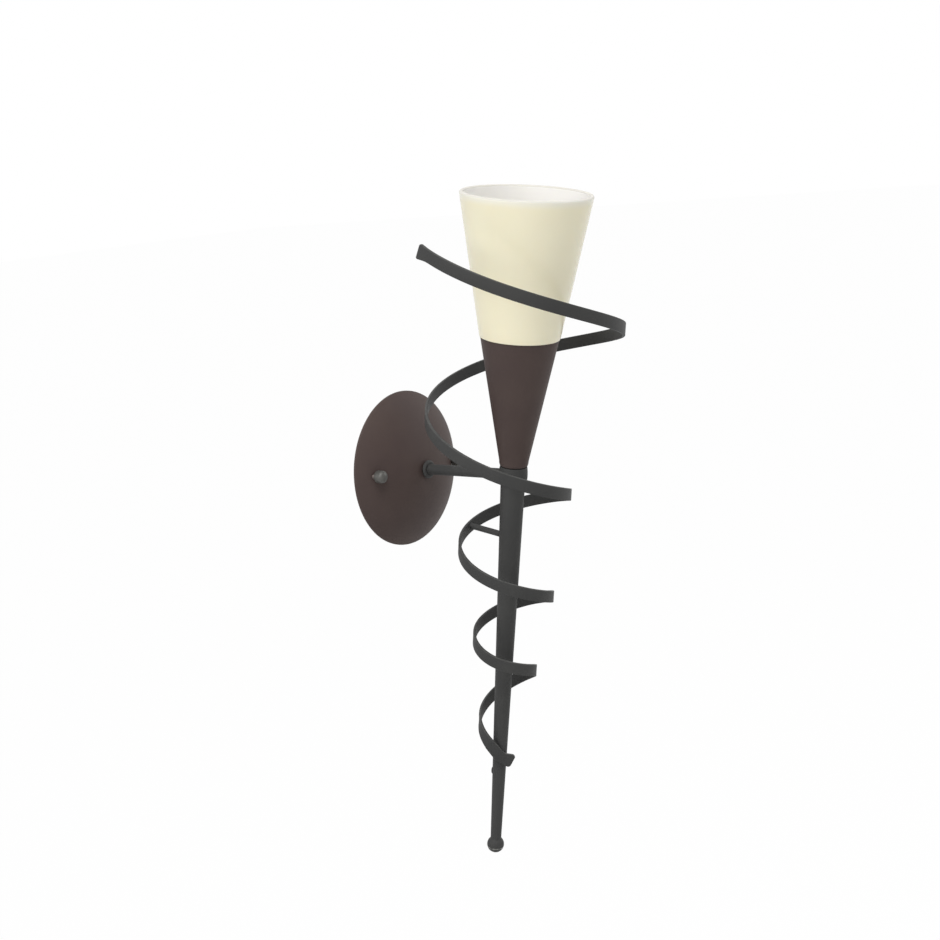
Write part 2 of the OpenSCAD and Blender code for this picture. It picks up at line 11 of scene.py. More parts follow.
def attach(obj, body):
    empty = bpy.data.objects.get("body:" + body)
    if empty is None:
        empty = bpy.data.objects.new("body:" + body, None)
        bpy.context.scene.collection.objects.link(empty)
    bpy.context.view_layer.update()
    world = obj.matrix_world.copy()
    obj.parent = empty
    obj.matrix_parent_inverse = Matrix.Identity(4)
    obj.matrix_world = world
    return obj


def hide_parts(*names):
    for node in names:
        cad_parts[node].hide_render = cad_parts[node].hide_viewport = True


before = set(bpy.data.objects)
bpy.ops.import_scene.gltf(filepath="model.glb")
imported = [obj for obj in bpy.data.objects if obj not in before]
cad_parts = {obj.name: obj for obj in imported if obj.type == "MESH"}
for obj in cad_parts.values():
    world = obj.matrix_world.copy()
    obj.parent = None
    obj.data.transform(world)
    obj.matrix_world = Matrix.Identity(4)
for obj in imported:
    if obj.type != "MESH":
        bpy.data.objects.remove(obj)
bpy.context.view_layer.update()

# Camera. It stands to the left of the lamp and a little above the arm, looks slightly down, and is held a few
# degrees off level.
MM = 0.001
camera_at = (-917.1, -789.7, 234.4)
camera_heading = radians(-51.641)
camera_tilt = radians(11.27)
camera_roll = radians(-5.357)
camera_lens = 60.67
camera_film = 36

ahead = Vector((-sin(camera_heading) * cos(camera_tilt),
                cos(camera_heading) * cos(camera_tilt), -sin(camera_tilt)))
level_right = ahead.cross(Vector((0, 0, 1))).normalized()
level_up = level_right.cross(ahead)
camera_right = cos(camera_roll) * level_right + sin(camera_roll) * level_up
camera_up = cos(camera_roll) * level_up - sin(camera_roll) * level_right

camera = bpy.data.objects.new("camera", bpy.data.cameras.new("camera"))
bpy.context.scene.collection.objects.link(camera)
camera.data.lens = camera_lens
camera.data.sensor_width = camera_film
camera.data.clip_start = 0.01
camera.matrix_world = (Matrix.Translation(Vector(camera_at) * MM)
                       @ Matrix((camera_right, camera_up, -ahead)).transposed().to_4x4())
bpy.context.scene.camera = camera

# Wall plate. A shallow dome spun from 1.2 mm steel with a short straight lip, drilled for the arm and the two
# studs. It is powder coated warm brown: a matt skin with a fine orange-peel grain and hardly any shine.
def linear(colour):
    """Turns an sRGB hex colour into linear red, green, blue and an opaque alpha."""
    shares = [int(colour[i:i + 2], 16) / 255 for i in (1, 3, 5)]
    return [s / 12.92 if s <= 0.04045 else ((s + 0.055) / 1.055) ** 2.4 for s in shares] + [1]


def add_node(tree, kind, values=None, links=None, **settings):
    """Adds a node of this kind with its settings, socket values and links to other nodes' outputs."""
    new = tree.nodes.new(kind)
    for name, value in settings.items():
        setattr(new, name, value)
    for socket, value in (values or {}).items():
        new.inputs[socket].default_value = value
    for socket, output in (links or {}).items():
        tree.links.new(new.inputs[socket], output)
    return new


def finish(name, colour, roughness, **sockets):
    """A material with one principled shader, whose other sockets are given by name."""
    material = bpy.data.materials.new(name)
    material.use_nodes = True
    shader = material.node_tree.nodes["Principled BSDF"]
    shader.inputs["Base Color"].default_value = linear(colour)
    shader.inputs["Roughness"].default_value = roughness
    for socket, value in sockets.items():
        shader.inputs[socket.replace("_", " ")].default_value = value
    return material


def mottled(material, low, high, size_mm, spread=0.25, detail=3):
    """Lets the colour wander softly between two tones over patches of this size."""
    tree = material.node_tree
    place = add_node(tree, "ShaderNodeTexCoord")
    noise = add_node(tree, "ShaderNodeTexNoise", {"Scale": 1 / (size_mm * MM), "Detail": detail},
                     {"Vector": place.outputs["Object"]})
    ramp = add_node(tree, "ShaderNodeValToRGB", links={"Fac": noise.outputs["Fac"]})
    for stop, tone, at in zip(ramp.color_ramp.elements, (low, high), (0.5 - spread, 0.5 + spread)):
        stop.color, stop.position = linear(tone), at
    tree.links.new(tree.nodes["Principled BSDF"].inputs["Base Color"], ramp.outputs["Color"])


def grained(material, size_mm, height_mm, strength=1, stretch=(1, 1, 1)):
    """Raises a fine grain of this size and height, and lets the roughness follow it a little."""
    tree = material.node_tree
    shader = tree.nodes["Principled BSDF"]
    place = add_node(tree, "ShaderNodeTexCoord")
    scaled = add_node(tree, "ShaderNodeMapping", {"Scale": stretch}, {"Vector": place.outputs["Object"]})
    noise = add_node(tree, "ShaderNodeTexNoise", {"Scale": 1 / (size_mm * MM), "Detail": 2},
                     {"Vector": scaled.outputs["Vector"]})
    bump = add_node(tree, "ShaderNodeBump", {"Strength": strength, "Distance": height_mm * MM},
                    {"Height": noise.outputs["Fac"]})
    tree.links.new(shader.inputs["Normal"], bump.outputs["Normal"])
    rough = shader.inputs["Roughness"].default_value
    spread = add_node(tree, "ShaderNodeMapRange", {"To Min": rough * 0.9, "To Max": min(rough * 1.1, 1)},
                      {"Value": noise.outputs["Fac"]})
    tree.links.new(shader.inputs["Roughness"], spread.outputs["Result"])


# The grain of powder coat is about 0.3 mm; it is drawn at 0.7 mm so that it shows.
brown_powder_coat = finish("brown_powder_coat", "#483c39", 0.6, Specular_IOR_Level=0.22)
mottled(brown_powder_coat, "#443836", "#4c403c", 38)
grained(brown_powder_coat, 0.7, 0.03)


def rounded(corners, steps=4):
    """The outline through (radius, height, fillet) corners, with each fillet drawn as a short arc."""
    outline = []
    for i, corner in enumerate(corners):
        here = Vector(corner[:2])
        fillet = corner[2] if len(corner) > 2 else 0
        if not fillet:
            outline.append(tuple(here))
            continue
        back = (Vector(corners[i - 1][:2]) - here).normalized()
        on = (Vector(corners[(i + 1) % len(corners)][:2]) - here).normalized()
        reach = fillet / tan(back.angle(on) / 2)
        for s in range(steps + 1):
            u = s / steps
            point = here + back * reach * (1 - u) ** 2 + on * reach * u ** 2
            outline.append(tuple(point))
    return outline


def turned(outline, steps=96):
    """Corners and faces of a closed outline turned about the z axis. The outline may depend on the angle."""
    rings = []
    for s in range(steps):
        angle = 2 * pi * s / steps
        points = outline(angle) if callable(outline) else outline
        rings.append([(r * cos(angle), r * sin(angle), z) for r, z in points])
    n = len(rings[0])
    corners = [point for ring in rings for point in ring]
    faces = [(s * n + i, (s + 1) % steps * n + i, (s + 1) % steps * n + (i + 1) % n, s * n + (i + 1) % n)
             for s in range(steps) for i in range(n)]
    return corners, faces


def shade(mesh, smooth):
    """Shades a mesh smooth, with a crisp line where its faces turn by more than this angle."""
    mesh.shade_smooth()
    mesh.set_sharp_from_angle(angle=radians(smooth))


def make(name, shape, material, place=Matrix(), smooth=35):
    """A mesh object in metres from (corners, faces) in millimetres, welded, with its normals outward."""
    corners, faces = shape
    mesh = bpy.data.meshes.new(name)
    mesh.from_pydata([place @ Vector(c) * MM for c in corners], [], faces)
    work = bmesh.new()
    work.from_mesh(mesh)
    bmesh.ops.remove_doubles(work, verts=work.verts, dist=0.0005 * MM)
    bmesh.ops.dissolve_degenerate(work, edges=work.edges, dist=0.0001 * MM)
    bmesh.ops.delete(work, geom=[e for e in work.edges if not e.link_faces], context="EDGES")
    bmesh.ops.recalc_face_normals(work, faces=work.faces)
    work.to_mesh(mesh)
    work.free()
    shade(mesh, smooth)
    mesh.materials.append(material)
    piece = bpy.data.objects.new(name, mesh)
    bpy.context.scene.collection.objects.link(piece)
    return piece


def cut(piece, *cutters, smooth=35):
    """Takes the cutters' shapes out of a piece and removes the cutters."""
    for cutter in cutters:
        step = piece.modifiers.new("cut", "BOOLEAN")
        step.object, step.operation, step.solver = cutter, "DIFFERENCE", "EXACT"
    bpy.context.view_layer.update()
    cut_mesh = bpy.data.meshes.new_from_object(piece.evaluated_get(bpy.context.evaluated_depsgraph_get()))
    piece.modifiers.clear()
    shade(cut_mesh, smooth)
    piece.data = cut_mesh
    for cutter in cutters:
        bpy.data.objects.remove(cutter)
    return piece


def fit(piece, slot, *nodes, body="fixture"):
    """The piece rides on its body and stands for these nodes of the frame."""
    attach(piece, body)
    if nodes:
        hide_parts(*nodes)
    return piece


def moved(place, x=0, y=0, z=0):
    """A place shifted along its own axes."""
    return place @ Matrix.Translation((x, y, z))


off_wall = Matrix.Rotation(radians(90), 4, "X")
snug = 0.05
plate_r = 60
plate_depth = 22
plate_wall = 1.2
plate_lip = 1.5
stud_x = 47
stud_turn = 4.6
stud_hole_r = 2.3
arm_r = 4
dome_h = plate_depth - plate_lip
dome_r = (plate_r ** 2 + dome_h ** 2) / (2 * dome_h)
dome_centre = plate_depth - dome_r


def dome_at(r, wall=0):
    """Height of the dome at this distance from its middle, less the sheet's thickness for its inside."""
    return dome_centre + sqrt((dome_r - wall) ** 2 - r ** 2)


dome_steps = 28
dome_out = [(plate_r * s / dome_steps, dome_at(plate_r * s / dome_steps)) for s in range(dome_steps)]
inner_r = plate_r - plate_wall
dome_in = [(inner_r * s / dome_steps, dome_at(inner_r * s / dome_steps, plate_wall))
           for s in range(dome_steps + 1)]
plate_edge = rounded([(plate_r - 2, dome_at(plate_r - 2)), (plate_r, plate_lip, 1), (plate_r, 0, 0.5),
                      (inner_r, 0, 0.4), (inner_r, plate_lip)])
plate_outline = dome_out[:-1] + plate_edge[1:-1] + dome_in[::-1]
wall_plate = make("wall_plate_spun", turned(plate_outline, 180), brown_powder_coat, off_wall)


def rod(r, low, high, place=off_wall):
    """A plain bar, used as a drill."""
    return make("drill", turned([(0, low), (r, low), (r, high), (0, high)], 48), brown_powder_coat, place)


studs_turned = off_wall @ Matrix.Rotation(radians(-stud_turn), 4, "Z")
stud_places = [moved(studs_turned, x) for x in (-stud_x, stud_x)]
cut(wall_plate, rod(arm_r + snug, 0, 40), *[rod(stud_hole_r, 0, 40, place) for place in stud_places])
fit(wall_plate, "brown_powder_coat", "wall_plate")

# Wall bracket. A strip of 2 mm steel with two long slots for the wall screws, a hole for the house cable and an
# upright tab that carries the terminal block. It is blanked, tumbled and zinc plated: a cool, cloudy grey.
zinc_plate = finish("zinc_plate", "#b9bcc0", 0.38, Metallic=0.9)
mottled(zinc_plate, "#aeb1b6", "#c3c5c8", 9)
grained(zinc_plate, 1.2, 0.01)


def slab(outline, low, high, bevel, material, name="drill", place=off_wall):
    """A plate cut to an outline, with its upright edges rounded first and then the edges of its two faces."""
    work = bmesh.new()
    foot, head = [[work.verts.new((x, y, z)) for x, y in outline] for z in (low, high)]
    work.faces.new(foot[::-1])
    work.faces.new(head)
    for i in range(len(outline)):
        work.faces.new((foot[i - 1], foot[i], head[i], head[i - 1]))
    if bevel:
        upright = [e for e in work.edges if e.verts[0].co.z != e.verts[1].co.z]
        bmesh.ops.bevel(work, geom=upright, offset=1.5 * bevel, segments=3, profile=0.5, affect="EDGES")
        work.normal_update()
        round_faces = [e for e in work.edges if any(abs(f.normal.z) > 0.9 for f in e.link_faces)]
        bmesh.ops.bevel(work, geom=round_faces, offset=bevel, segments=3, profile=0.5, affect="EDGES")
    work.verts.index_update()
    shape = [v.co.copy() for v in work.verts], [[v.index for v in f.verts] for f in work.faces]
    work.free()
    return make(name, shape, material, place, smooth=12)


def block(low, high, bevel, material, name="drill", place=off_wall):
    """A straight-sided block with rounded edges."""
    outline = [(low[0], low[1]), (high[0], low[1]), (high[0], high[1]), (low[0], high[1])]
    return slab(outline, low[2], high[2], bevel, material, name, place)


bracket_len = 110
bracket_h = 16
bracket_t = 2
tab_w = 26
tab_top = 29
slot_x = 30
slot_w = 5
slot_len = 12
cable_hole_r = 6
earth_x = 18
block_low = 12
block_h = 16
block_mid = block_low + block_h / 2
screw_r = 1.2
stud_r = 2
half_outline = [(bracket_len / 2, -bracket_h / 2), (bracket_len / 2, bracket_h / 2),
                (tab_w / 2, bracket_h / 2), (tab_w / 2, tab_top)]
strip = slab(half_outline + [(-x, y) for x, y in half_outline[::-1]], 0, bracket_t, 0.4, zinc_plate,
             "wall_bracket_strip")
drills = [rod(cable_hole_r, -1, 4), rod(screw_r + snug, -1, 4, moved(off_wall, y=block_mid))]
drills += [rod(stud_r + snug, -1, 4, place) for place in [moved(off_wall, earth_x)] + stud_places]
slot_arc = [radians(a) for a in range(-90, 91, 6)]
slot_end = [((slot_len - slot_w + slot_w * cos(a)) / 2, slot_w / 2 * sin(a)) for a in slot_arc]
for side in (-1, 1):
    slot = [(side * slot_x + turn * x, turn * y) for turn in (1, -1) for x, y in slot_end]
    drills.append(slab(slot, -1, 4, 0, zinc_plate))
wall_bracket = cut(strip, *drills, smooth=12)
fit(wall_bracket, "zinc_plate", "wall_bracket")

# Studs and cap nuts. Two M4 studs riveted into the bracket pass through the plate, and a round cap nut on each
# clamps it. The nuts are turned from steel and blackened: a dull grey, with fine rings from the tool.
blackened_steel = finish("blackened_steel", "#555451", 0.5, Metallic=0.5)
mottled(blackened_steel, "#4d4c49", "#5e5d5a", 3)
grained(blackened_steel, 0.5, 0.008, stretch=(0.3, 4, 0.3))


def thread_line(angle, r, depth, pitch, low, high):
    """The outside of a rounded thread, seen in section at this angle, from its lower end up."""
    rows = round((high - low) / pitch * 8)
    line = []
    for i in range(rows + 1):
        z = low + (high - low) * i / rows
        fade = min(1, (z - low) / pitch, (high - z) / pitch)
        line.append((r - depth * fade * (0.5 - 0.5 * cos(2 * pi * z / pitch - angle)), z))
    return line


nut_r = 4.8
nut_h = 8.4
nut_foot_r = 4
nut_foot_h = 0.9
nut_dome_h = 3.36
nut_bore_h = 5.88
nut_seat = dome_at(stud_x - nut_foot_r)
stud_end = nut_seat + nut_bore_h - 0.5
nut_dome = [(nut_r * cos(radians(a)), nut_h - nut_dome_h * (1 - sin(radians(a))))
            for a in range(0, 91, 6)]
nut_outline = (rounded([(stud_r + 0.1, 0), (nut_foot_r, 0, 0.2), (nut_r, nut_foot_h, 0.4), nut_dome[0]])
               + nut_dome[1:] + [(0, nut_bore_h), (stud_r + 0.1, nut_bore_h)])
# The studs are left bare: a dull steel, tinted warm as a painted reflection of the brown plate around it.
bare_steel = finish("bare_steel", "#6f6562", 0.5, Metallic=0.7)
mottled(bare_steel, "#665c59", "#796f6b", 3)
grained(bare_steel, 0.4, 0.01)
for at_stud, end in zip(stud_places, ("left", "right")):
    stud_outline = lambda a: thread_line(a, stud_r, 0.25, 0.7, 0, stud_end) + [(0, stud_end), (0, 0)]
    stud = make("stud_" + end, turned(stud_outline, 32), bare_steel, at_stud)
    fit(stud, "zinc_plate", "bracket_studs")
    nut = make("cap_nut_" + end, turned(nut_outline, 64), blackened_steel, moved(at_stud, z=nut_seat))
    fit(nut, "grey_nut", "cap_nuts")

# Arm and collar. An 8 mm steel tube, cut with a thread inside the plate, and a small turned collar with a narrow
# foot, pushed over it against the dome. Arm, stem, hub, ball and band are powder coated a neutral graphite grey.
graphite_coat = finish("graphite_powder_coat", "#3a3a3a", 0.6, Specular_IOR_Level=0.22)
mottled(graphite_coat, "#373737", "#3e3e3d", 30)
grained(graphite_coat, 0.7, 0.03)

torch_out = 104
collar_r = 7
collar_h = 3.2
washer_low = dome_at(arm_r + 3, plate_wall) - 0.8
lock_nut_h = 3.5
lock_nut_low = washer_low - 0.6 - lock_nut_h
arm_end = lock_nut_low - 2
arm_thread_end = washer_low + 0.6
arm_top = torch_out - 5.4
arm_bore_r = 2.8
collar = make("arm_collar_turned", turned(rounded([
    (arm_r + snug, 0), (collar_r - 1.5, 0, 0.2), (collar_r - 1.5, 1.2, 0.2), (collar_r, 1.3, 0.3),
    (collar_r, 2.1, 0.5), (collar_r - 1.2, collar_h, 0.6), (arm_r + snug, collar_h, 0.2)])),
    graphite_coat, moved(off_wall, z=plate_depth))
fit(collar, "graphite_powder_coat", "arm_collar")
arm = make("arm_tube_coated", turned(lambda a: thread_line(a, arm_r, 0.35, 1, arm_end, arm_thread_end) + [
    (arm_r, arm_thread_end + 0.2), (arm_r, arm_top), (arm_bore_r, arm_top), (arm_bore_r, arm_end)], 64),
    graphite_coat, off_wall)
fit(arm, "graphite_powder_coat", "arm_tube")


def hex_nut(across, height, bore):
    """Section of a hexagon nut with its corners turned off at both ends, as a function of the angle."""
    face = across / 2 * 0.96
    def outline(angle):
        corner = across / 2 / cos(angle % (pi / 3) - pi / 6)
        drop = (corner - face) * tan(radians(30))
        return [(bore, 0.3), (bore + 0.3, 0), (face, 0), (corner, drop), (corner, height - drop),
                (face, height), (bore + 0.3, height), (bore, height - 0.3)]
    return outline


lock_nut = make("arm_lock_nut_hex", turned(hex_nut(13, lock_nut_h, arm_r + snug)), zinc_plate,
                moved(off_wall, z=lock_nut_low), smooth=25)
fit(lock_nut, "zinc_plate", "arm_lock_nut")


def dress(node, material):
    """Gives a node of the frame, whose shape is right, its material."""
    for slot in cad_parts[node].material_slots:
        slot.material = material


dress("arm_washer", zinc_plate)
# Stamped brass: warm, lightly brushed, a little darker where it has been handled.
brass = finish("brass", "#c7a457", 0.34, Metallic=1)
mottled(brass, "#b48f45", "#cfae66", 4)
grained(brass, 0.4, 0.006, stretch=(4, 0.4, 0.4))
dress("earth_tag", brass)
# Moulded white polyamide, slightly see-through at the edge and satin from the tool.
bush_plastic = finish("bush_plastic", "#e8e6df", 0.42, Subsurface_Weight=0.1, Subsurface_Radius=(0.001,) * 3)
mottled(bush_plastic, "#e4e1d8", "#ecebe5", 5)
grained(bush_plastic, 0.3, 0.004)
dress("arm_bush", bush_plastic)

# Hub. A turned steel drum with a slight barrel, bored for the arm and for the threaded tube that holds the cup.
# The arm is brazed into its back, and the stem is pushed on below it.
torch_lean = radians(9.3)
torch = Matrix.Translation((0, -torch_out, 0)) @ Matrix.Rotation(torch_lean, 4, "X")
hub_r = 10.7
hub_barrel = 0.6
hub_h = 13
nipple_r = 5
hub_outline = rounded(
    [(nipple_r + snug, -hub_h / 2), (hub_r - hub_barrel, -hub_h / 2, 0.5)]
    + [(hub_r - hub_barrel * s * s, s * hub_h / 2) for s in (-0.8, -0.4, 0, 0.4, 0.8)]
    + [(hub_r - hub_barrel, hub_h / 2, 0.7), (nipple_r + snug, hub_h / 2)])
hub = cut(make("hub_turned", turned(hub_outline), graphite_coat, torch), rod(arm_r + snug, 90, torch_out))
fit(hub, "graphite_powder_coat", "hub")

# Stem and ball. The stem is a long swaged tube, which tapers from 18.2 to 8.4 mm, with a turned ball welded into
# its foot and the weld dressed to a small hollow. A lighter ring below the ball's middle is a painted highlight.
stem_r = 9.1
stem_end_r = 4.2
stem_wall = 1.2
stem_drop = 307
ball_r = 6.7
ball_seat = sqrt(ball_r ** 2 - (stem_end_r + 0.3) ** 2)
stem_top = -hub_h / 2
stem_end = ball_seat - stem_drop
ball_foot = 0.96 * ball_r


def stem_r_at(z):
    """Radius of the stem at this height."""
    return stem_end_r + (stem_r - stem_end_r) * (z - stem_end) / (stem_top - stem_end)


stem_rows = 24
fillet_r = 2.4
fillet_low = sqrt(ball_r ** 2 - (stem_end_r + 0.62) ** 2) - stem_drop
fillet_steps = [radians(7 * i) for i in range(1, 7)]
fillet_top = fillet_low + fillet_r * sin(fillet_steps[-1])
stem_line = [stem_top + (fillet_top - stem_top) * i / stem_rows for i in range(stem_rows + 1)]
stem_outline = (
    [(stem_r - stem_wall, stem_top), (stem_r - 0.3, stem_top)]
    + [(stem_r_at(z), z - (0.3 if z == stem_top else 0)) for z in stem_line]
    + [(stem_end_r + fillet_r * (1 - cos(a)), fillet_top - fillet_r * sin(a)) for a in fillet_steps]
    + [(stem_end_r - stem_wall, stem_end)])
stem = make("stem_tapered", turned(stem_outline, 72), graphite_coat, torch)
fit(stem, "graphite_powder_coat", "stem")

low_angle = degrees(asin(ball_foot / ball_r))
high_angle = degrees(asin(ball_seat / ball_r))
ball_arc = [radians(-low_angle + (low_angle + high_angle) * i / 28) for i in range(29)]
ball_line = [(ball_r * cos(a), ball_r * sin(a) - stem_drop) for a in ball_arc]
ball_outline = [(0, -stem_drop - ball_foot)] + ball_line + [(0, stem_end)]
ball = make("ball_finial_turned", turned(ball_outline, 72), graphite_coat, torch)
# A lighter, spotted band of faces below the ball's middle is a painted highlight.
highlight_low, highlight_high = -0.29, -0.16
painted_highlight_ring = finish("painted_highlight_ring", "#55554f", 0.4, Specular_IOR_Level=0.5)
mottled(painted_highlight_ring, "#3c3c3b", "#787874", 2.2, 0.1)
grained(painted_highlight_ring, 0.7, 0.02)
ball.data.materials.append(painted_highlight_ring)
for face in ball.data.polygons:
    below = (torch.inverted() @ (face.center / MM)).z + stem_drop
    face.material_index = 1 if highlight_low < below / ball_r < highlight_high else 0
fit(ball, "graphite_powder_coat", "ball_finial")

# Spiral band. One length of flat mild steel, 9 by 2 mm with rolled edges, is wound by hand round the torch in
# four uneven turns and welded to the stem at its foot. Its free top end is hammered a little wider and has its
# corners ground round. One rounded upper edge is painted lighter along its length, a painted highlight.
band_w = 9
band_t = 2
band_start = 156
band_step = 136.5
band_top_r = 84.5
band_top_z = 171
band_foot_drop = 228
reach_shares = [1, 0.882, 0.852, 0.639, 0.462, 0.444, 0.444, 0.29, 0.284, 0.284, 0.229]
descent_shares = [0, 0.136, 0.277, 0.396, 0.486, 0.569, 0.638, 0.713, 0.771, 0.819, 0.916, 1]
weld_depth = 0.12
tail_fall = 0.4
edge_round = 0.5
end_round = 2.2
end_flare = 3.4
end_slant = 0.17
flare_len = 13
flare_down = 0.39
tail_round = 3
tail_slant = 0.16
tail_level = 0.31
tail_flare = 2.6
tail_flare_len = 9
splay_down = 0.2
head_rows = 30
tail_rows = 12
far = 99
band_knots = len(descent_shares) - 1
band_end = band_start + band_step * band_knots
band_heights = [band_top_z - d * (band_top_z + band_foot_drop) for d in descent_shares]
band_radii = ([share * band_top_r for share in reach_shares]
              + [stem_r_at(-band_foot_drop) + band_t / 2 - weld_depth])


def smooth_at(values, u):
    """A smooth curve through equally spaced values, at a place counted in steps."""
    def value(k):
        if k < 0:
            return 2 * values[0] - values[1]
        return values[k] if k < len(values) else 2 * values[-1] - values[-2]
    i = min(int(u), len(values) - 2)
    f = u - i
    a, b, c, d = value(i - 1), values[i], values[i + 1], value(i + 2)
    return (2 * b + (c - a) * f + (2 * a - 5 * b + 4 * c - d) * f ** 2 + (3 * b - a - 3 * c + d) * f ** 3) / 2


def band_point(angle):
    """The middle of the band at this angle, in the torch's own frame."""
    u = (angle - band_start) / band_step
    r, z, a = smooth_at(band_radii, u), smooth_at(band_heights, u), radians(angle)
    return Vector((r * cos(a), r * sin(a), z))


def swept(path, sections, side_of):
    """Corners and faces of a bar along a path, with a list of (side, up) offsets at each point of it."""
    corners = []
    for i, point in enumerate(path):
        run = (path[min(i + 1, len(path) - 1)] - path[max(i - 1, 0)]).normalized()
        side = side_of(i, run)
        up = side.cross(run)
        corners += [point + side * a + up * b for a, b in sections[i]]
    n = len(sections[0])
    faces = [(i * n + j, i * n + (j + 1) % n, (i + 1) * n + (j + 1) % n, (i + 1) * n + j)
             for i in range(len(path) - 1) for j in range(n)]
    return corners, faces + [list(range(n)), list(range((len(path) - 1) * n, len(path) * n))]


def flat_bar(width, thickness, fillet):
    """Section of a flat bar with rounded edges."""
    x, y = thickness / 2, width / 2
    return rounded([(x, -y, fillet), (x, y, fillet), (-x, y, fillet), (-x, -y, fillet)], 3)


def eased(distance, reach):
    """How far a corner of this roundness has drawn in at a distance from the end."""
    return reach - sqrt(reach ** 2 - (reach - distance) ** 2) if distance < reach else 0


top_steps = (1, 1.15, 1.4, 1.8, 2.2, 2.7, 3.2, 3.8)
foot_steps = (8.7, 9.2, 9.6, 9.9, 10.12, 10.27)
band_path = [band_point(band_start + degrees(s / band_top_r)) for s in top_steps]
band_path += [band_point(band_start + 3 + i * (band_end - band_start - 3) / 620) for i in range(621)]
foot_turn = 12
for i in range(1, 7):
    a = radians(band_end + foot_turn * i / 6)
    z = -band_foot_drop - band_radii[-1] * radians(foot_turn * i / 6) * tail_fall
    band_path.append(Vector((band_radii[-1] * cos(a), band_radii[-1] * sin(a), z)))
foot_angle = radians(band_end + foot_turn)
tail_run = Vector((-sin(foot_angle), cos(foot_angle), -tail_level)).normalized()
tail_from = band_path[-1]
band_path += [tail_from + tail_run * s for s in (0.8, 1.6, 2.4, 3.2, 4, 5, 6, 7.5) + foot_steps]
bend = len(band_path) - len(foot_steps) - 12
for again in range(60):
    for i in range(bend - 22, bend + 6):
        band_path[i] = (band_path[i - 1] + 2 * band_path[i] + band_path[i + 1]) / 4
band_sections = []
for i, point in enumerate(band_path):
    from_top = (point - band_path[0]).length if i < head_rows else far
    k = i - len(band_path) + len(foot_steps)
    from_foot = foot_steps[-1] - foot_steps[k] if k >= 0 else far
    flare = end_flare * max(0, 1 - from_top / flare_len) ** 1.4
    from_tail_end = (point - band_path[-1]).length if i > 500 else far
    splay = tail_flare * max(0, 1 - from_tail_end / tail_flare_len)
    narrow = 2 * (eased(from_top, end_round) + eased(from_foot, tail_round)) * 0.98
    thin = 2 * (eased(from_top, edge_round) + eased(from_foot, edge_round)) * 0.98
    section = flat_bar(band_w + flare + splay - narrow, band_t - thin, edge_round * (1 - thin / band_t))
    band_sections.append([(a, b - flare * flare_down - splay * splay_down) for a, b in section])
corners, faces = swept(band_path, band_sections, lambda i, run: run.cross(Vector((0, 0, 1))).normalized())
ring = len(band_sections[0])
for i in range(head_rows):
    run = (band_path[i + 1] - band_path[i]).normalized()
    fade = max(0, 1 - (band_path[i] - band_path[0]).length / flare_len)
    for j in range(ring):
        corners[i * ring + j] += run * (band_sections[i][j][1] + band_w / 2) * end_slant * fade
for i in range(len(band_path) - tail_rows, len(band_path)):
    run = (band_path[-1] - band_path[-2]).normalized()
    reach = min(1, (band_path[i] - band_path[-tail_rows - 1]).length / 9)
    for j in range(ring):
        corners[i * ring + j] += run * (band_sections[i][j][1] - band_w / 2) * tail_slant * reach
band = make("spiral_band_wound", (corners, faces), graphite_coat, torch)
# One rounded upper edge and its narrow top face are painted a little lighter: a painted highlight.
painted_edge_highlight = finish("graphite_rubbed_edge", "#40403f", 0.5, Specular_IOR_Level=0.3)
mottled(painted_edge_highlight, "#3a3a39", "#4a4a48", 6)
grained(painted_edge_highlight, 0.7, 0.02)
band.data.materials.append(painted_edge_highlight)
for face in band.data.polygons:
    on_highlit_edge = face.index % ring in (4, 5, 6, 7)
    face.material_index = 1 if on_highlit_edge and face.index < (len(band_path) - 1) * ring else 0
fit(band, "graphite_powder_coat", "spiral_band")

# Support pin and welds. A round pin holds the second turn off the stem, with a small fillet of weld at both
# ends. The band's foot is held by a rippled bead along its lower edge, and one spatter of weld sits beside it.
pin_angle = 810
pin_r = 2.3
pin_rise = 0.8
weld_fillet = 0.9
pin_at = band_point(pin_angle) + Vector((0, 0, pin_rise))
pin_from = stem_r_at(pin_at.z) - 0.2
pin_to = pin_at.y - band_t / 2 + weld_depth
pin_steps = 5
flare = [(weld_fillet * (1 - sin(pi / 2 * i / pin_steps)),
          weld_fillet * (1 - cos(pi / 2 * i / pin_steps))) for i in range(pin_steps + 1)]
pin_outline = ([(0, pin_from)] + [(pin_r + grow, pin_from + 0.2 + along) for grow, along in flare]
               + [(pin_r + grow, pin_to - along) for grow, along in flare[::-1]] + [(0, pin_to)])
z_to_y = Matrix.Rotation(radians(-90), 4, "X")
pin = make("band_support_pin_welded", turned(pin_outline, 40), graphite_coat,
           moved(torch, z=pin_at.z) @ z_to_y)
fit(pin, "graphite_powder_coat", "band_support_pin")

bead_r = 0.9
ripple = 0.16
bead_steps = 44
bead_path, bead_sections = [], []
for i in range(bead_steps + 1):
    angle = band_end - 46 + 60 * i / bead_steps
    z = band_point(min(angle, band_end)).z - band_w / 2 - 0.35 - max(0, angle - band_end) * 0.04
    a = radians(angle)
    bead_path.append(Vector((stem_r_at(z) * cos(a), stem_r_at(z) * sin(a), z)))
    end_in = min(i, bead_steps - i) / bead_steps
    r = (bead_r + ripple * sin(i * 1.9)) * min(1, sqrt(end_in * 12) + 0.05)
    bead_sections.append([(r * cos(t * pi / 5), r * sin(t * pi / 5)) for t in range(10)])
bead = make("weld_bead", swept(bead_path, bead_sections,
            lambda i, run: Vector((bead_path[i].x, bead_path[i].y, 0)).normalized()), graphite_coat, torch)
fit(bead, "graphite_powder_coat")
spatter_angle = radians(125)
spatter_z = -242.5
spatter_r = 0.9
spatter_half = 2.9
spatter_out = stem_r_at(spatter_z)
spatter_arc = [radians(-90 + 15 * i) for i in range(13)]
spatter_outline = [(spatter_r * cos(a), spatter_half * sin(a)) for a in spatter_arc]
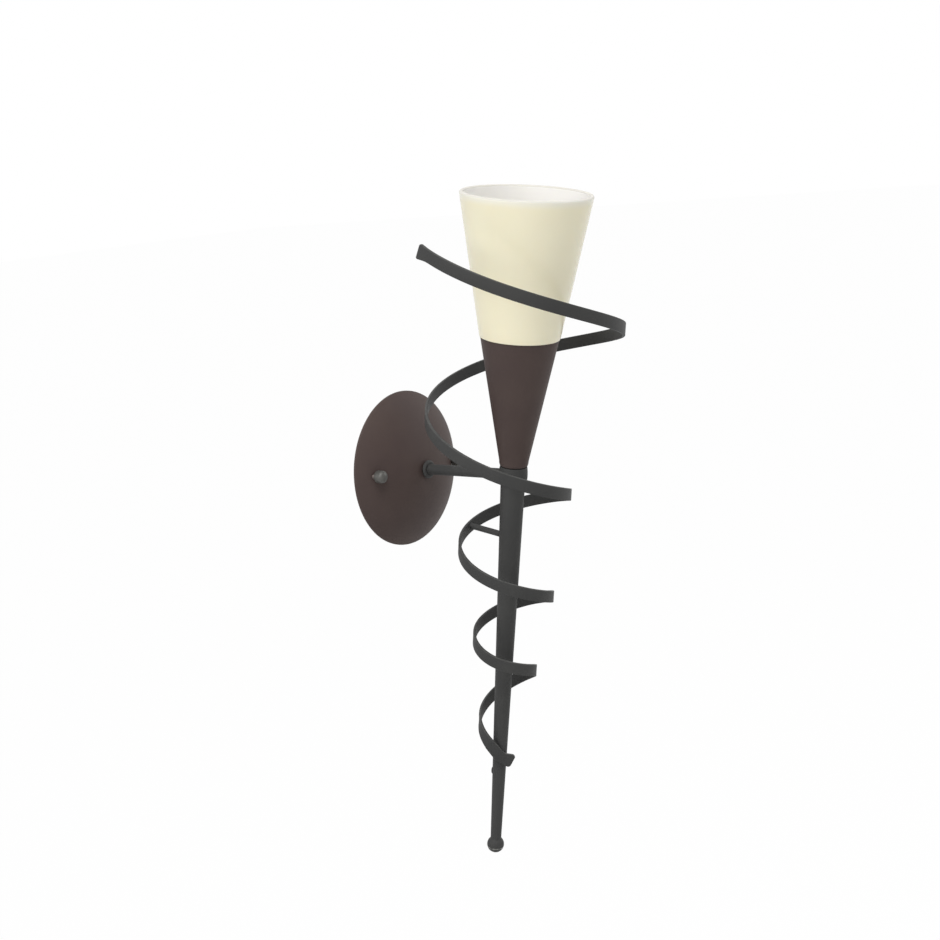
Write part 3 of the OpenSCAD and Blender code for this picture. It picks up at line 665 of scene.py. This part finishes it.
spatter = make("weld_spatter", turned(spatter_outline, 24), graphite_coat,
               moved(torch, spatter_out * cos(spatter_angle), spatter_out * sin(spatter_angle), spatter_z))
fit(spatter, "graphite_powder_coat")

# Cup and its washer. The cup is a cone spun from 1 mm steel, with a small rounded corner at its foot and its
# rim deburred, coated the same warm brown as the plate. A black fibre washer keeps it off the hub.
cup_washer_t = 0.6
cup_corner = 3.6
cup_low_r = 10.9
cup_rim_r = 28.65
cup_rim_z = 103.4
cup_wall = 1
cup_z = hub_h / 2 + cup_washer_t
cup_low_z = cup_z + cup_corner
cup_foot_r = cup_low_r - 1.1
# Pressed black fibre gives a dry, nearly black edge between the two coats; its near-black tone is partly painted
# shade for the shadow line where cup meets hub.
black_washer_and_shade = finish("black_fibre_and_painted_shade", "#1f1d1c", 0.8, Specular_IOR_Level=0.2)
mottled(black_washer_and_shade, "#1b1918", "#262322", 1)
grained(black_washer_and_shade, 0.4, 0.02)
dress("cup_washer", black_washer_and_shade)
corner_arc = [(cup_foot_r + (cup_low_r - cup_foot_r) * sin(radians(a)),
               cup_low_z - cup_corner * cos(radians(a))) for a in range(0, 91, 9)]
cup_rows = 12
cup_side = [(cup_low_r + (cup_rim_r - cup_low_r) * i / cup_rows,
             cup_low_z + (cup_rim_z - cup_low_z) * i / cup_rows) for i in range(1, cup_rows)]
cup_outline = rounded(
    [(nipple_r + snug, cup_z)] + corner_arc + cup_side
    + [(cup_rim_r, cup_rim_z, 0.35), (cup_rim_r - cup_wall, cup_rim_z, 0.25),
       (cup_low_r - cup_wall, cup_low_z), (cup_foot_r - 0.6 * cup_wall, cup_z + cup_wall, 0.5),
       (nipple_r + snug, cup_z + cup_wall)])
cup = make("cup_spun", turned(cup_outline, 128), brown_powder_coat, torch)
fit(cup, "brown_powder_coat", "cup")

# Threaded tube and cup nut. A length of M10 x 1 steel tube is screwed into the hub, and carries the cup, a
# hexagon nut and the lampholder. Both are zinc plated.
nipple_low = arm_bore_r + 0.8
nipple_top = 40
nipple_bore_r = 3.5
nipple = make("nipple_threaded", turned(lambda a: thread_line(a, nipple_r, 0.3, 1, nipple_low, nipple_top) + [
    (nipple_bore_r, nipple_top), (nipple_bore_r, nipple_low)], 64), zinc_plate, torch)
fit(nipple, "zinc_plate", "nipple")
cup_nut = make("cup_nut_hex", turned(hex_nut(14, 4, nipple_r + snug)), zinc_plate,
               moved(torch, z=cup_z + cup_wall), smooth=25)
fit(cup_nut, "zinc_plate", "cup_nut")

# Lampholder. A glazed porcelain body with a room for the terminals below, a rolled brass screw shell and a
# riveted brass contact above. Glaze gives a clean white gloss with softly rounded edges.
holder_low = 34
holder_r = 13
holder_top = 70
room_r = 10.6
room_low = 40
partition_low = 49
socket_z = 52
shell_r = 7.6
shell_t = 0.4
lamp_pitch = 2.82
glazed_porcelain = finish("glazed_porcelain", "#efece4", 0.14, Coat_Weight=0.3, Coat_Roughness=0.06)
mottled(glazed_porcelain, "#ebe7dd", "#f2f0ea", 7)
grained(glazed_porcelain, 2.5, 0.01)
holder_outline = rounded([
    (nipple_r + snug, holder_low, 0.3), (holder_r - 2, holder_low, 0.8), (holder_r, holder_low + 4, 1.5),
    (holder_r, partition_low - 1, 0.5), (holder_r - 0.8, partition_low, 0.4), (holder_r - 0.8, socket_z, 0.4),
    (holder_r, socket_z + 1, 0.5), (holder_r, holder_top - 2, 1), (holder_r - 2.5, holder_top, 1),
    (shell_r + snug, holder_top, 0.6), (shell_r + snug, socket_z), (0, socket_z), (0, partition_low),
    (room_r, partition_low, 0.6), (room_r, room_low, 0.6), (nipple_r + snug, room_low, 0.3)])
holder = make("lampholder_porcelain", turned(holder_outline), glazed_porcelain, torch)
fit(holder, "holder_ceramic", "lampholder_body")


def shell_outline(angle):
    """Thin sheet rolled into a thread, seen in section."""
    outside = thread_line(angle, shell_r, 0.25, lamp_pitch, socket_z, holder_top - 1)
    return outside + [(r - shell_t, z) for r, z in outside[::-1]]


shell = make("lampholder_shell_rolled", turned(shell_outline, 72), brass, torch)
fit(shell, "brass", "lampholder_shell")
contact = make("lampholder_contact_rivet", turned(rounded([
    (0, socket_z), (1.6, socket_z), (1.6, socket_z + 2.5), (2.6, socket_z + 2.5, 0.15),
    (2.6, socket_z + 3, 0.2), (0, socket_z + 3)]), 40), brass, torch)
fit(contact, "brass", "lampholder_contact")


def slotted(name, outline, top, slot, material, place, reach=3):
    """A turned screw with a sawn slot across its top. The slot is (width, depth)."""
    screw = make(name, turned(outline, 40), material, place)
    width, depth = slot
    saw = block((-reach, -width / 2, top - depth), (reach, width / 2, top + 1), 0, material, place=place)
    return cut(screw, saw)


# Nickel over steel: a warm grey metal, brighter than the zinc and slightly brushed.
nickel_plate = finish("nickel_plate", "#c9c5bb", 0.26, Metallic=1)
mottled(nickel_plate, "#bdb9ae", "#d2cfc7", 5)
grained(nickel_plate, 0.5, 0.005)
clamp_x = 7
clamp_half = 2
clamp_h = 5
clamp_z = partition_low - clamp_h / 2
for side, end in ((-1, "left"), (1, "right")):
    clamp = block((side * clamp_x - clamp_half, -clamp_half, partition_low - clamp_h),
                  (side * clamp_x + clamp_half, clamp_half, partition_low), 0.35, brass,
                  "holder_terminal_" + end, torch)
    fit(clamp, "brass", "lampholder_terminals")
    clamp_screw = slotted("holder_terminal_screw_" + end, rounded([
        (0, 0), (1, 0), (1, 0.4), (1.5, 0.4), (1.5, 1.1, 0.3), (0, 1.1)]), 1.1, (0.4, 0.4), nickel_plate,
        moved(torch, side * clamp_x, 0.2 - clamp_half, clamp_z) @ off_wall)
    fit(clamp_screw, "brass")

# Glass shade. Blown cased glass: an opal white layer inside, a thin cream layer over it outside, with the mouth
# cut and fire polished. The neck drops into the cup and the shoulder rests on the cup's rim.
glass_wall = 3
glass_low_r = cup_rim_r + 0.6
glass_rim_r = 47.7
glass_h = 103.2
glass_neck = 17
neck_top_r = cup_rim_r - cup_wall - 0.3
neck_low_z = cup_rim_z - glass_neck
neck_low_r = (cup_low_r + (cup_rim_r - cup_low_r) * (neck_low_z - cup_low_z) / (cup_rim_z - cup_low_z)
              - cup_wall - 0.3)
glass_top = cup_rim_z + glass_h
rim_r = glass_wall / 2
rim_z = glass_top - rim_r
rim_out = glass_low_r + (glass_rim_r - glass_low_r) * (rim_z - cup_rim_z) / glass_h
glass_rows = 24
glass_side = [(glass_low_r + (rim_out - glass_low_r) * i / glass_rows,
               cup_rim_z + (rim_z - cup_rim_z) * i / glass_rows) for i in range(1, glass_rows + 1)]
glass_rim = [(rim_out - rim_r + rim_r * cos(radians(a)), rim_z + rim_r * sin(radians(a)))
             for a in range(12, 180, 12)]
glass_outline = rounded(
    [(neck_low_r, neck_low_z, 0.8), (neck_top_r, cup_rim_z, 0.3), (glass_low_r, cup_rim_z, 0.35)]
    + glass_side + glass_rim
    + [(rim_out - glass_wall, rim_z), (glass_low_r - glass_wall, cup_rim_z + glass_wall, 2),
       (neck_top_r - glass_wall, cup_rim_z, 2), (neck_low_r - glass_wall, neck_low_z, 0.8)])

# Cream opal glass is smooth and dense, so light sinks in a little. The cream layer thins out to white over
# the last few millimetres under the mouth, where it was fire polished.
cream_opal_glass = finish("cream_opal_glass", "#ede7cb", 0.22, Subsurface_Weight=0.15,
                          Subsurface_Radius=(0.004, 0.003, 0.002), Specular_IOR_Level=0.45)
mottled(cream_opal_glass, "#ece5c9", "#efe9ce", 45, 0.2, 1)
tree = cream_opal_glass.node_tree
base = tree.nodes["Principled BSDF"].inputs["Base Color"]
up_torch = (torch.to_3x3() @ Vector((0, 0, 1))).normalized()
mouth = up_torch.dot(torch.to_translation()) + glass_top
fade_from = (mouth - 7) * MM
fade_to = (mouth - 1) * MM
place = add_node(tree, "ShaderNodeTexCoord")
height = add_node(tree, "ShaderNodeVectorMath", {1: up_torch}, {0: place.outputs["Object"]},
                  operation="DOT_PRODUCT")
fade = add_node(tree, "ShaderNodeMapRange", {"From Min": fade_from, "From Max": fade_to},
                {"Value": height.outputs["Value"]}, interpolation_type="SMOOTHSTEP")
paler = add_node(tree, "ShaderNodeMix", {7: linear("#e9e6d8")},
                 {0: fade.outputs["Result"], 6: base.links[0].from_socket}, data_type="RGBA")
tree.links.new(base, paler.outputs[2])
# The white layer is a soft matt white. The mouth is ground flat and melted round again in the flame. Its
# upward-facing faces are painted a darker white, a painted shade that holds down the light from the lamp above.
matt_opal = {"Subsurface_Weight": 0.15, "Subsurface_Radius": (0.004, 0.004, 0.003), "Specular_IOR_Level": 0.2}
white_opal_glass = finish("white_opal_glass", "#efede9", 0.6, **matt_opal)
mottled(white_opal_glass, "#edebe6", "#f1efec", 40)
painted_shade_rim = finish("painted_shade_rim", "#d9d6ce", 0.5, **matt_opal)
mottled(painted_shade_rim, "#d6d3ca", "#dcd9d2", 30)
for opal in (cream_opal_glass, white_opal_glass, painted_shade_rim):
    grained(opal, 14, 0.02, 0.5)
glass = make("glass_shade_cased", turned(glass_outline, 144), cream_opal_glass, torch)
glass.data.materials.append(white_opal_glass)
glass.data.materials.append(painted_shade_rim)
for face in glass.data.polygons:
    out = face.center - torch.to_translation() * MM
    out -= up_torch * out.dot(up_torch)
    # Faces turned upward get the darker rim white, which is painted shade.
    on_rim = face.normal.dot(up_torch) > 0.3
    face.material_index = 2 if on_rim else 1 if face.normal.dot(out.normalized()) < 0.2 else 0
fit(glass, "cream_glass", "glass_shade", body="shade")

# Lamp. A pearl candle lamp with a small screw cap: frosted glass blown thin, a nickel-plated cap rolled into a
# thread, a black glass insulator, a solder contact, and a coiled filament on a glass stem.
contact_low = socket_z + 3 + 0.3
contact_tip = 0.8
insulator_h = 2.4
cap_r = 6.9
cap_h = 18
cap_low = contact_low + contact_tip + insulator_h
cap_overlap = 1.5
bulb_low = cap_low + cap_h - cap_overlap
bulb_h = 80
bulb_t = 0.8
bulb_neck_r = cap_r - 0.5
bulb_neck_h = 2
bulb_r = 17.5
bulb_belly = 0.86
bulb_rows = 48
pearl_glass = finish("pearl_glass", "#f4f2ec", 0.5, Transmission_Weight=0.75, IOR=1.5)
mottled(pearl_glass, "#f1efe8", "#f7f5f0", 8)
grained(pearl_glass, 0.4, 0.006)


def bulb_r_at(u):
    """Radius of the lamp's glass at this share of its height above the neck."""
    return bulb_neck_r * (1 - u) + (bulb_r - 0.6 * bulb_neck_r) * sin(pi * u ** bulb_belly)


bulb_side = [(bulb_r_at(i / bulb_rows), bulb_neck_h + (bulb_h - bulb_neck_h) * i / bulb_rows)
             for i in range(1, bulb_rows)]
bulb_outline = (
    [(bulb_neck_r - bulb_t, 0), (bulb_neck_r, 0), (bulb_neck_r, bulb_neck_h)] + bulb_side
    + [(0, bulb_h), (0, bulb_h - 2 * bulb_t)] + [(r - bulb_t, z) for r, z in bulb_side[-3::-1]]
    + [(bulb_neck_r - bulb_t, bulb_neck_h)])
bulb = make("lamp_glass_pearl", turned(bulb_outline, 72), pearl_glass, moved(torch, z=bulb_low))
fit(bulb, "lamp_glass", "bulb_glass", body="lamp")


def cap_outline(angle):
    """The rolled cap in section, with its thread below and a plain skirt above."""
    return ([(cap_r - 2, 0)] + thread_line(angle, cap_r, 0.5, lamp_pitch, 2, 14) + [
        (cap_r, 14.3), (cap_r, cap_h - 0.2), (cap_r - 0.2, cap_h), (bulb_neck_r + snug, cap_h),
        (bulb_neck_r + snug, cap_h - cap_overlap), (cap_r - 1, cap_h - cap_overlap), (cap_r - 1, 2.4),
        (cap_r - 2.6, 0.6), (cap_r - 2.6, 0)])


lamp_cap = make("lamp_cap_rolled", turned(cap_outline, 72), nickel_plate, moved(torch, z=cap_low))
fit(lamp_cap, "nickel_cap", "bulb_cap", body="lamp")
# Moulded black glass is glossy and nearly black.
black_glass = finish("black_moulded_glass", "#1d1d20", 0.1)
mottled(black_glass, "#1a1a1d", "#222226", 2)
grained(black_glass, 1, 0.01)
insulator = make("lamp_insulator_moulded", turned(rounded([
    (0, 0), (2.6, 0, 0.3), (3.4, 0.8, 0.4), (cap_r - 2, insulator_h - 0.3, 0.3), (cap_r - 2, insulator_h),
    (0, insulator_h)]), 48), black_glass, moved(torch, z=contact_low + contact_tip))
fit(insulator, "black_glass", "bulb_insulator", body="lamp")
# Solder is a soft dull silver with a fine crystalline bloom.
solder = finish("solder", "#b7b8bb", 0.45, Metallic=0.9)
mottled(solder, "#a6a7aa", "#c6c7ca", 0.8)
grained(solder, 0.3, 0.01)
lamp_contact = make("lamp_contact_soldered", turned(rounded([
    (0, 0), (1.2, 0, 0.8), (2.1, 0.35, 0.3), (2.4, contact_tip), (0, contact_tip)]), 40), solder,
    moved(torch, z=contact_low))
fit(lamp_contact, "zinc_plate", "bulb_contact", body="lamp")

clear_glass = finish("clear_stem_glass", "#eef0ee", 0.05, Transmission_Weight=0.9, IOR=1.5)
mottled(clear_glass, "#ebeeec", "#f2f3f2", 5)
grained(clear_glass, 2, 0.005)
# Drawn tungsten and nickel wire is a plain dark grey metal.
drawn_wire = finish("drawn_lamp_wire", "#8c8a85", 0.4, Metallic=1)
mottled(drawn_wire, "#7f7d78", "#999791", 1)
grained(drawn_wire, 0.2, 0.002)
stem_glass_top = cap_low + cap_h + 14
filament_z = stem_glass_top - 1 + 22 - 0.2
lamp_stem = make("lamp_stem_pinched", turned(rounded([
    (0, cap_low + 0.2), (2.2, cap_low + 0.2, 0.4), (2.2, stem_glass_top - 12, 3),
    (1.9, stem_glass_top - 6, 3), (2.1, stem_glass_top, 1.2), (0, stem_glass_top)]), 40), clear_glass, torch)
fit(lamp_stem, "filament_glass", "bulb_filament", body="lamp")


def tube(name, path, r, material, place=Matrix(), sides=16, hint=Vector((1, 0, 0))):
    """A round wire along a path, turned as little as can be from one point to the next."""
    sides_of, last = [], hint
    for i in range(len(path)):
        run = (path[min(i + 1, len(path) - 1)] - path[max(i - 1, 0)]).normalized()
        last = (last - run * last.dot(run)).normalized()
        sides_of.append(last)
    ring = [(r * cos(2 * pi * s / sides), r * sin(2 * pi * s / sides)) for s in range(sides)]
    return make(name, swept(path, [ring] * len(path), lambda i, run: sides_of[i]), material, place, smooth=60)


lead_line = ((0.9, -1), (1.1, 2), (1.3, 6), (1.4, 12), (1.4, 18), (1.35, 20.2), (1.2, 20.8))
for side, end in ((-1, "left"), (1, "right")):
    path = [Vector((side * x, 0, stem_glass_top + z)) for x, z in lead_line]
    lead = tube("lamp_lead_" + end, path, 0.22, drawn_wire, torch, 10)
    fit(lead, "nickel_cap", "bulb_filament", body="lamp")
coil_turns = 9
coil = tube("lamp_filament_coiled", [Vector((
    -1.25 + 2.5 * i / (coil_turns * 12), 0.32 * cos(pi * i / 6), filament_z + 0.32 * sin(pi * i / 6)))
    for i in range(coil_turns * 12 + 1)], 0.09, drawn_wire, torch, 8)
fit(coil, "nickel_cap", "bulb_filament", body="lamp")

# Terminal block. A two-pole block moulded in off-white polyamide, held on the bracket's tab by one screw, with
# a brass tube and two slotted screws for each pole.
block_w = 24
block_t = 11
pole_x = 5.5
pole_y = bracket_t + 6
insert_r = 2.4
insert_bore_r = 1.3
insert_h = 12
block_top = block_low + block_h
block_face = bracket_t + block_t
saw_depth = 2
saw_half = 0.6
land = 3.2
row_y = 3
terminal_block = block((-block_w / 2, block_low, bracket_t), (block_w / 2, block_top, block_face), 0.5,
                       bush_plastic, "terminal_block_moulded")
drills = [rod(screw_r + snug, 0, 20, moved(off_wall, y=block_mid))]
for low, high in ((block_low - 1, block_mid - land), (block_mid + land, block_top + 1)):
    drills.append(block((-saw_half, low, block_face - saw_depth), (saw_half, high, 20), 0, bush_plastic))
for side in (-1, 1):
    at_pole = moved(off_wall, side * pole_x, block_mid)
    drills.append(rod(insert_r + snug, -10, 10, moved(at_pole, z=pole_y) @ z_to_y))
    drills += [rod(screw_r + 0.4, pole_y, 20, moved(at_pole, y=row * row_y)) for row in (-1, 1)]
cut(terminal_block, *drills, smooth=12)
fit(terminal_block, "block_plastic", "terminal_block")
for side, end in ((-1, "live"), (1, "neutral")):
    at_pole = moved(off_wall, side * pole_x, block_mid, pole_y)
    insert = make("terminal_insert_" + end, turned(rounded([
        (insert_bore_r, -insert_h / 2, 0.15), (insert_r, -insert_h / 2, 0.3), (insert_r, insert_h / 2, 0.3),
        (insert_bore_r, insert_h / 2, 0.15)]), 48), brass, at_pole @ z_to_y)
    cut(insert, *[rod(screw_r + snug, 0, 4, moved(at_pole, y=row * row_y)) for row in (-1, 1)])
    fit(insert, "brass", "terminal_inserts")
    for row, place in ((-1, "low"), (1, "high")):
        grub_outline = lambda a: thread_line(a, screw_r, 0.14, 0.45, 0, 2.6) + [
            (screw_r - 0.1, 3.1), (0, 3.1), (0, 0)]
        grub = slotted("terminal_screw_" + end + "_" + place, grub_outline, 3.1, (0.4, 0.6), nickel_plate,
                       moved(at_pole, 0, row * row_y, insert_bore_r))
        fit(grub, "nickel_cap", "terminal_screws")

# Screws. The block's screw has a small pan head and the earth screw a wide brass one, both slotted.
mount_screw = slotted("block_screw_slotted", lambda a: thread_line(a, screw_r, 0.14, 0.45, 0, 8) + rounded([
    (screw_r, 8.3), (screw_r, 13), (2.4, 13, 0.2), (1.8, 14.2, 0.4), (0, 14.2), (0, 0)]), 14.2, (0.5, 0.6),
    nickel_plate, moved(off_wall, y=block_mid))
fit(mount_screw, "nickel_cap", "block_screw")
earth_top = bracket_t + 2.4
earth_screw = slotted("earth_screw_slotted", lambda a: thread_line(a, 2, 0.2, 0.7, 0, bracket_t) + rounded([
    (3.6, bracket_t, 0.2), (3.6, earth_top, 0.7), (0, earth_top), (0, 0)]), earth_top, (0.8, 1),
    brass, moved(off_wall, earth_x), reach=4)
fit(earth_screw, "brass", "earth_screw")

# Wires. Stranded copper in smooth extruded PVC: brown and blue run from the block through the arm and up the
# threaded tube to the lampholder, and a green and yellow one joins the bracket's screw to the tag on the arm.
wire_r = 0.85
pair_x = wire_r + snug
wire_lead = 4
wire_bend_r = 4.5
wire_mouth = arm_end - 1
pvc = {}
for name, colour, low, high in (
        ("brown", "#6b3f26", "#633a22", "#73452b"), ("blue", "#2f62a8", "#2b5b9e", "#356ab2"),
        ("green", "#3f8a3c", "#397f37", "#469443"), ("yellow", "#d9c22e", "#d2bb29", "#e0ca36")):
    pvc[name] = finish("pvc_" + name, colour, 0.35)
    mottled(pvc[name], low, high, 3)
    grained(pvc[name], 0.5, 0.004)


def eased_run(a, b, c, d, steps=18):
    """A wire's run from a to d, which leaves a towards b and comes to d from c."""
    points = []
    for i in range(steps + 1):
        u = i / steps
        w = 1 - u
        points.append(w ** 3 * Vector(a) + 3 * w * w * u * Vector(b)
                      + 3 * w * u * u * Vector(c) + u ** 3 * Vector(d))
    return points


for side, name, node in ((-1, "brown", "live_wire"), (1, "blue", "neutral_wire")):
    x, block_x = side * pair_x, side * pole_x
    path = [Vector((block_x, -pole_y, block_low + wire_lead))]
    path += eased_run((block_x, -pole_y, block_low), (block_x, -pole_y, block_low - wire_lead),
                      (x, wire_lead - wire_mouth, 0), (x, -wire_mouth, 0))
    path.append(Vector((x, 2 * wire_bend_r - torch_out, 0)))
    elbow = [radians(a) for a in range(10, 91, 8)]
    path += [torch @ Vector((x, wire_bend_r * (1 - sin(a)), wire_bend_r * (1 - cos(a)))) for a in elbow]
    path += [torch @ p for p in eased_run((x, 0, nipple_top), (x, 0, nipple_top + wire_lead),
                                          (x, 0, clamp_z), (side * 4.8, 0, clamp_z))]
    wire = tube("lamp_wire_" + name, path, wire_r, pvc[name], hint=Vector((0, 1, 0)))
    fit(wire, "wire_" + name, node)

tag_y = -lock_nut_low - lock_nut_h + 0.2
head_y = -earth_top - 0.2
earth_path = eased_run((10, tag_y, 0), (10, tag_y + 2 * wire_lead, 0), (earth_x, head_y - 2 * wire_lead, 0),
                       (earth_x, head_y, 0), 28)
earth_wire = tube("earth_wire_striped", earth_path, wire_r, pvc["green"], hint=Vector((0, 0, 1)))
earth_wire.data.materials.append(pvc["yellow"])
for face in earth_wire.data.polygons:
    face.material_index = 1 if face.index % 16 in (0, 1, 2, 3, 8, 9, 10, 11) else 0
fit(earth_wire, "wire_green_yellow", "earth_wire")

# Studio. A plain pale floor, far enough below the light that its shadow is faint, and white surroundings for the
# eye and for reflections. Most light comes from a large lamp above, with a broad one at the left and a fill.
floor_drop = 750
floor_half = 20000
seen_floor = 0.98
room_light = 0.5


def seen_white(tree):
    """One where a surface is seen, straight or in metal or glass, and zero where it only gives light."""
    rays = add_node(tree, "ShaderNodeLightPath").outputs
    seen = rays["Is Camera Ray"]
    for kind in ("Is Glossy Ray", "Is Transmission Ray"):
        either = add_node(tree, "ShaderNodeMath", links={0: seen, 1: rays[kind]}, operation="MAXIMUM")
        seen = either.outputs["Value"]
    return seen


pale_floor = finish("pale_floor", "#f2f2f0", 0.9, Specular_IOR_Level=0.1)
mottled(pale_floor, "#f0f0ee", "#f4f4f2", 900)
tree = pale_floor.node_tree
seen_share = add_node(tree, "ShaderNodeMath", {1: seen_floor}, {0: seen_white(tree)}, operation="MULTIPLY")
white = add_node(tree, "ShaderNodeEmission", {"Strength": 1})
bare_floor = tree.nodes["Principled BSDF"].outputs["BSDF"]
floor_mix = add_node(tree, "ShaderNodeMixShader", links={
    0: seen_share.outputs["Value"], 1: bare_floor, 2: white.outputs["Emission"]})
tree.links.new(tree.nodes["Material Output"].inputs["Surface"], floor_mix.outputs["Shader"])
floor_corners = [(x * floor_half, y * floor_half, -floor_drop)
                 for x, y in ((-1, -1), (1, -1), (1, 1), (-1, 1))]
make("floor", (floor_corners, [(0, 1, 2, 3)]), pale_floor)

surroundings = bpy.data.worlds.new("white_surroundings")
bpy.context.scene.world = surroundings
surroundings.use_nodes = True
tree = surroundings.node_tree
strength = add_node(tree, "ShaderNodeMapRange", {"To Min": room_light, "To Max": 1},
                    {"Value": seen_white(tree)})
tree.links.new(tree.nodes["Background"].inputs["Strength"], strength.outputs["Result"])
tree.nodes["Background"].inputs["Color"].default_value = (1, 1, 1, 1)


def soft_lamp(name, at, power):
    """A square softbox 1.2 m wide, at a place in metres and pointed at the light."""
    light = bpy.data.lights.new(name, "AREA")
    light.size, light.energy = 1.2, power
    lamp = bpy.data.objects.new(name, light)
    bpy.context.scene.collection.objects.link(lamp)
    lamp.location = at
    lamp.rotation_euler = (Vector((0, -0.1, 0)) - Vector(at)).to_track_quat("-Z", "Y").to_euler()


soft_lamp("broad_lamp_left", (-1.8, 0.2, 0.6), 11)
soft_lamp("lamp_above", (-1.0, -0.8, 2.0), 32)
soft_lamp("fill_right", (1.4, -1.0, 0.8), 7)

bpy.context.scene.view_settings.view_transform = "Standard"
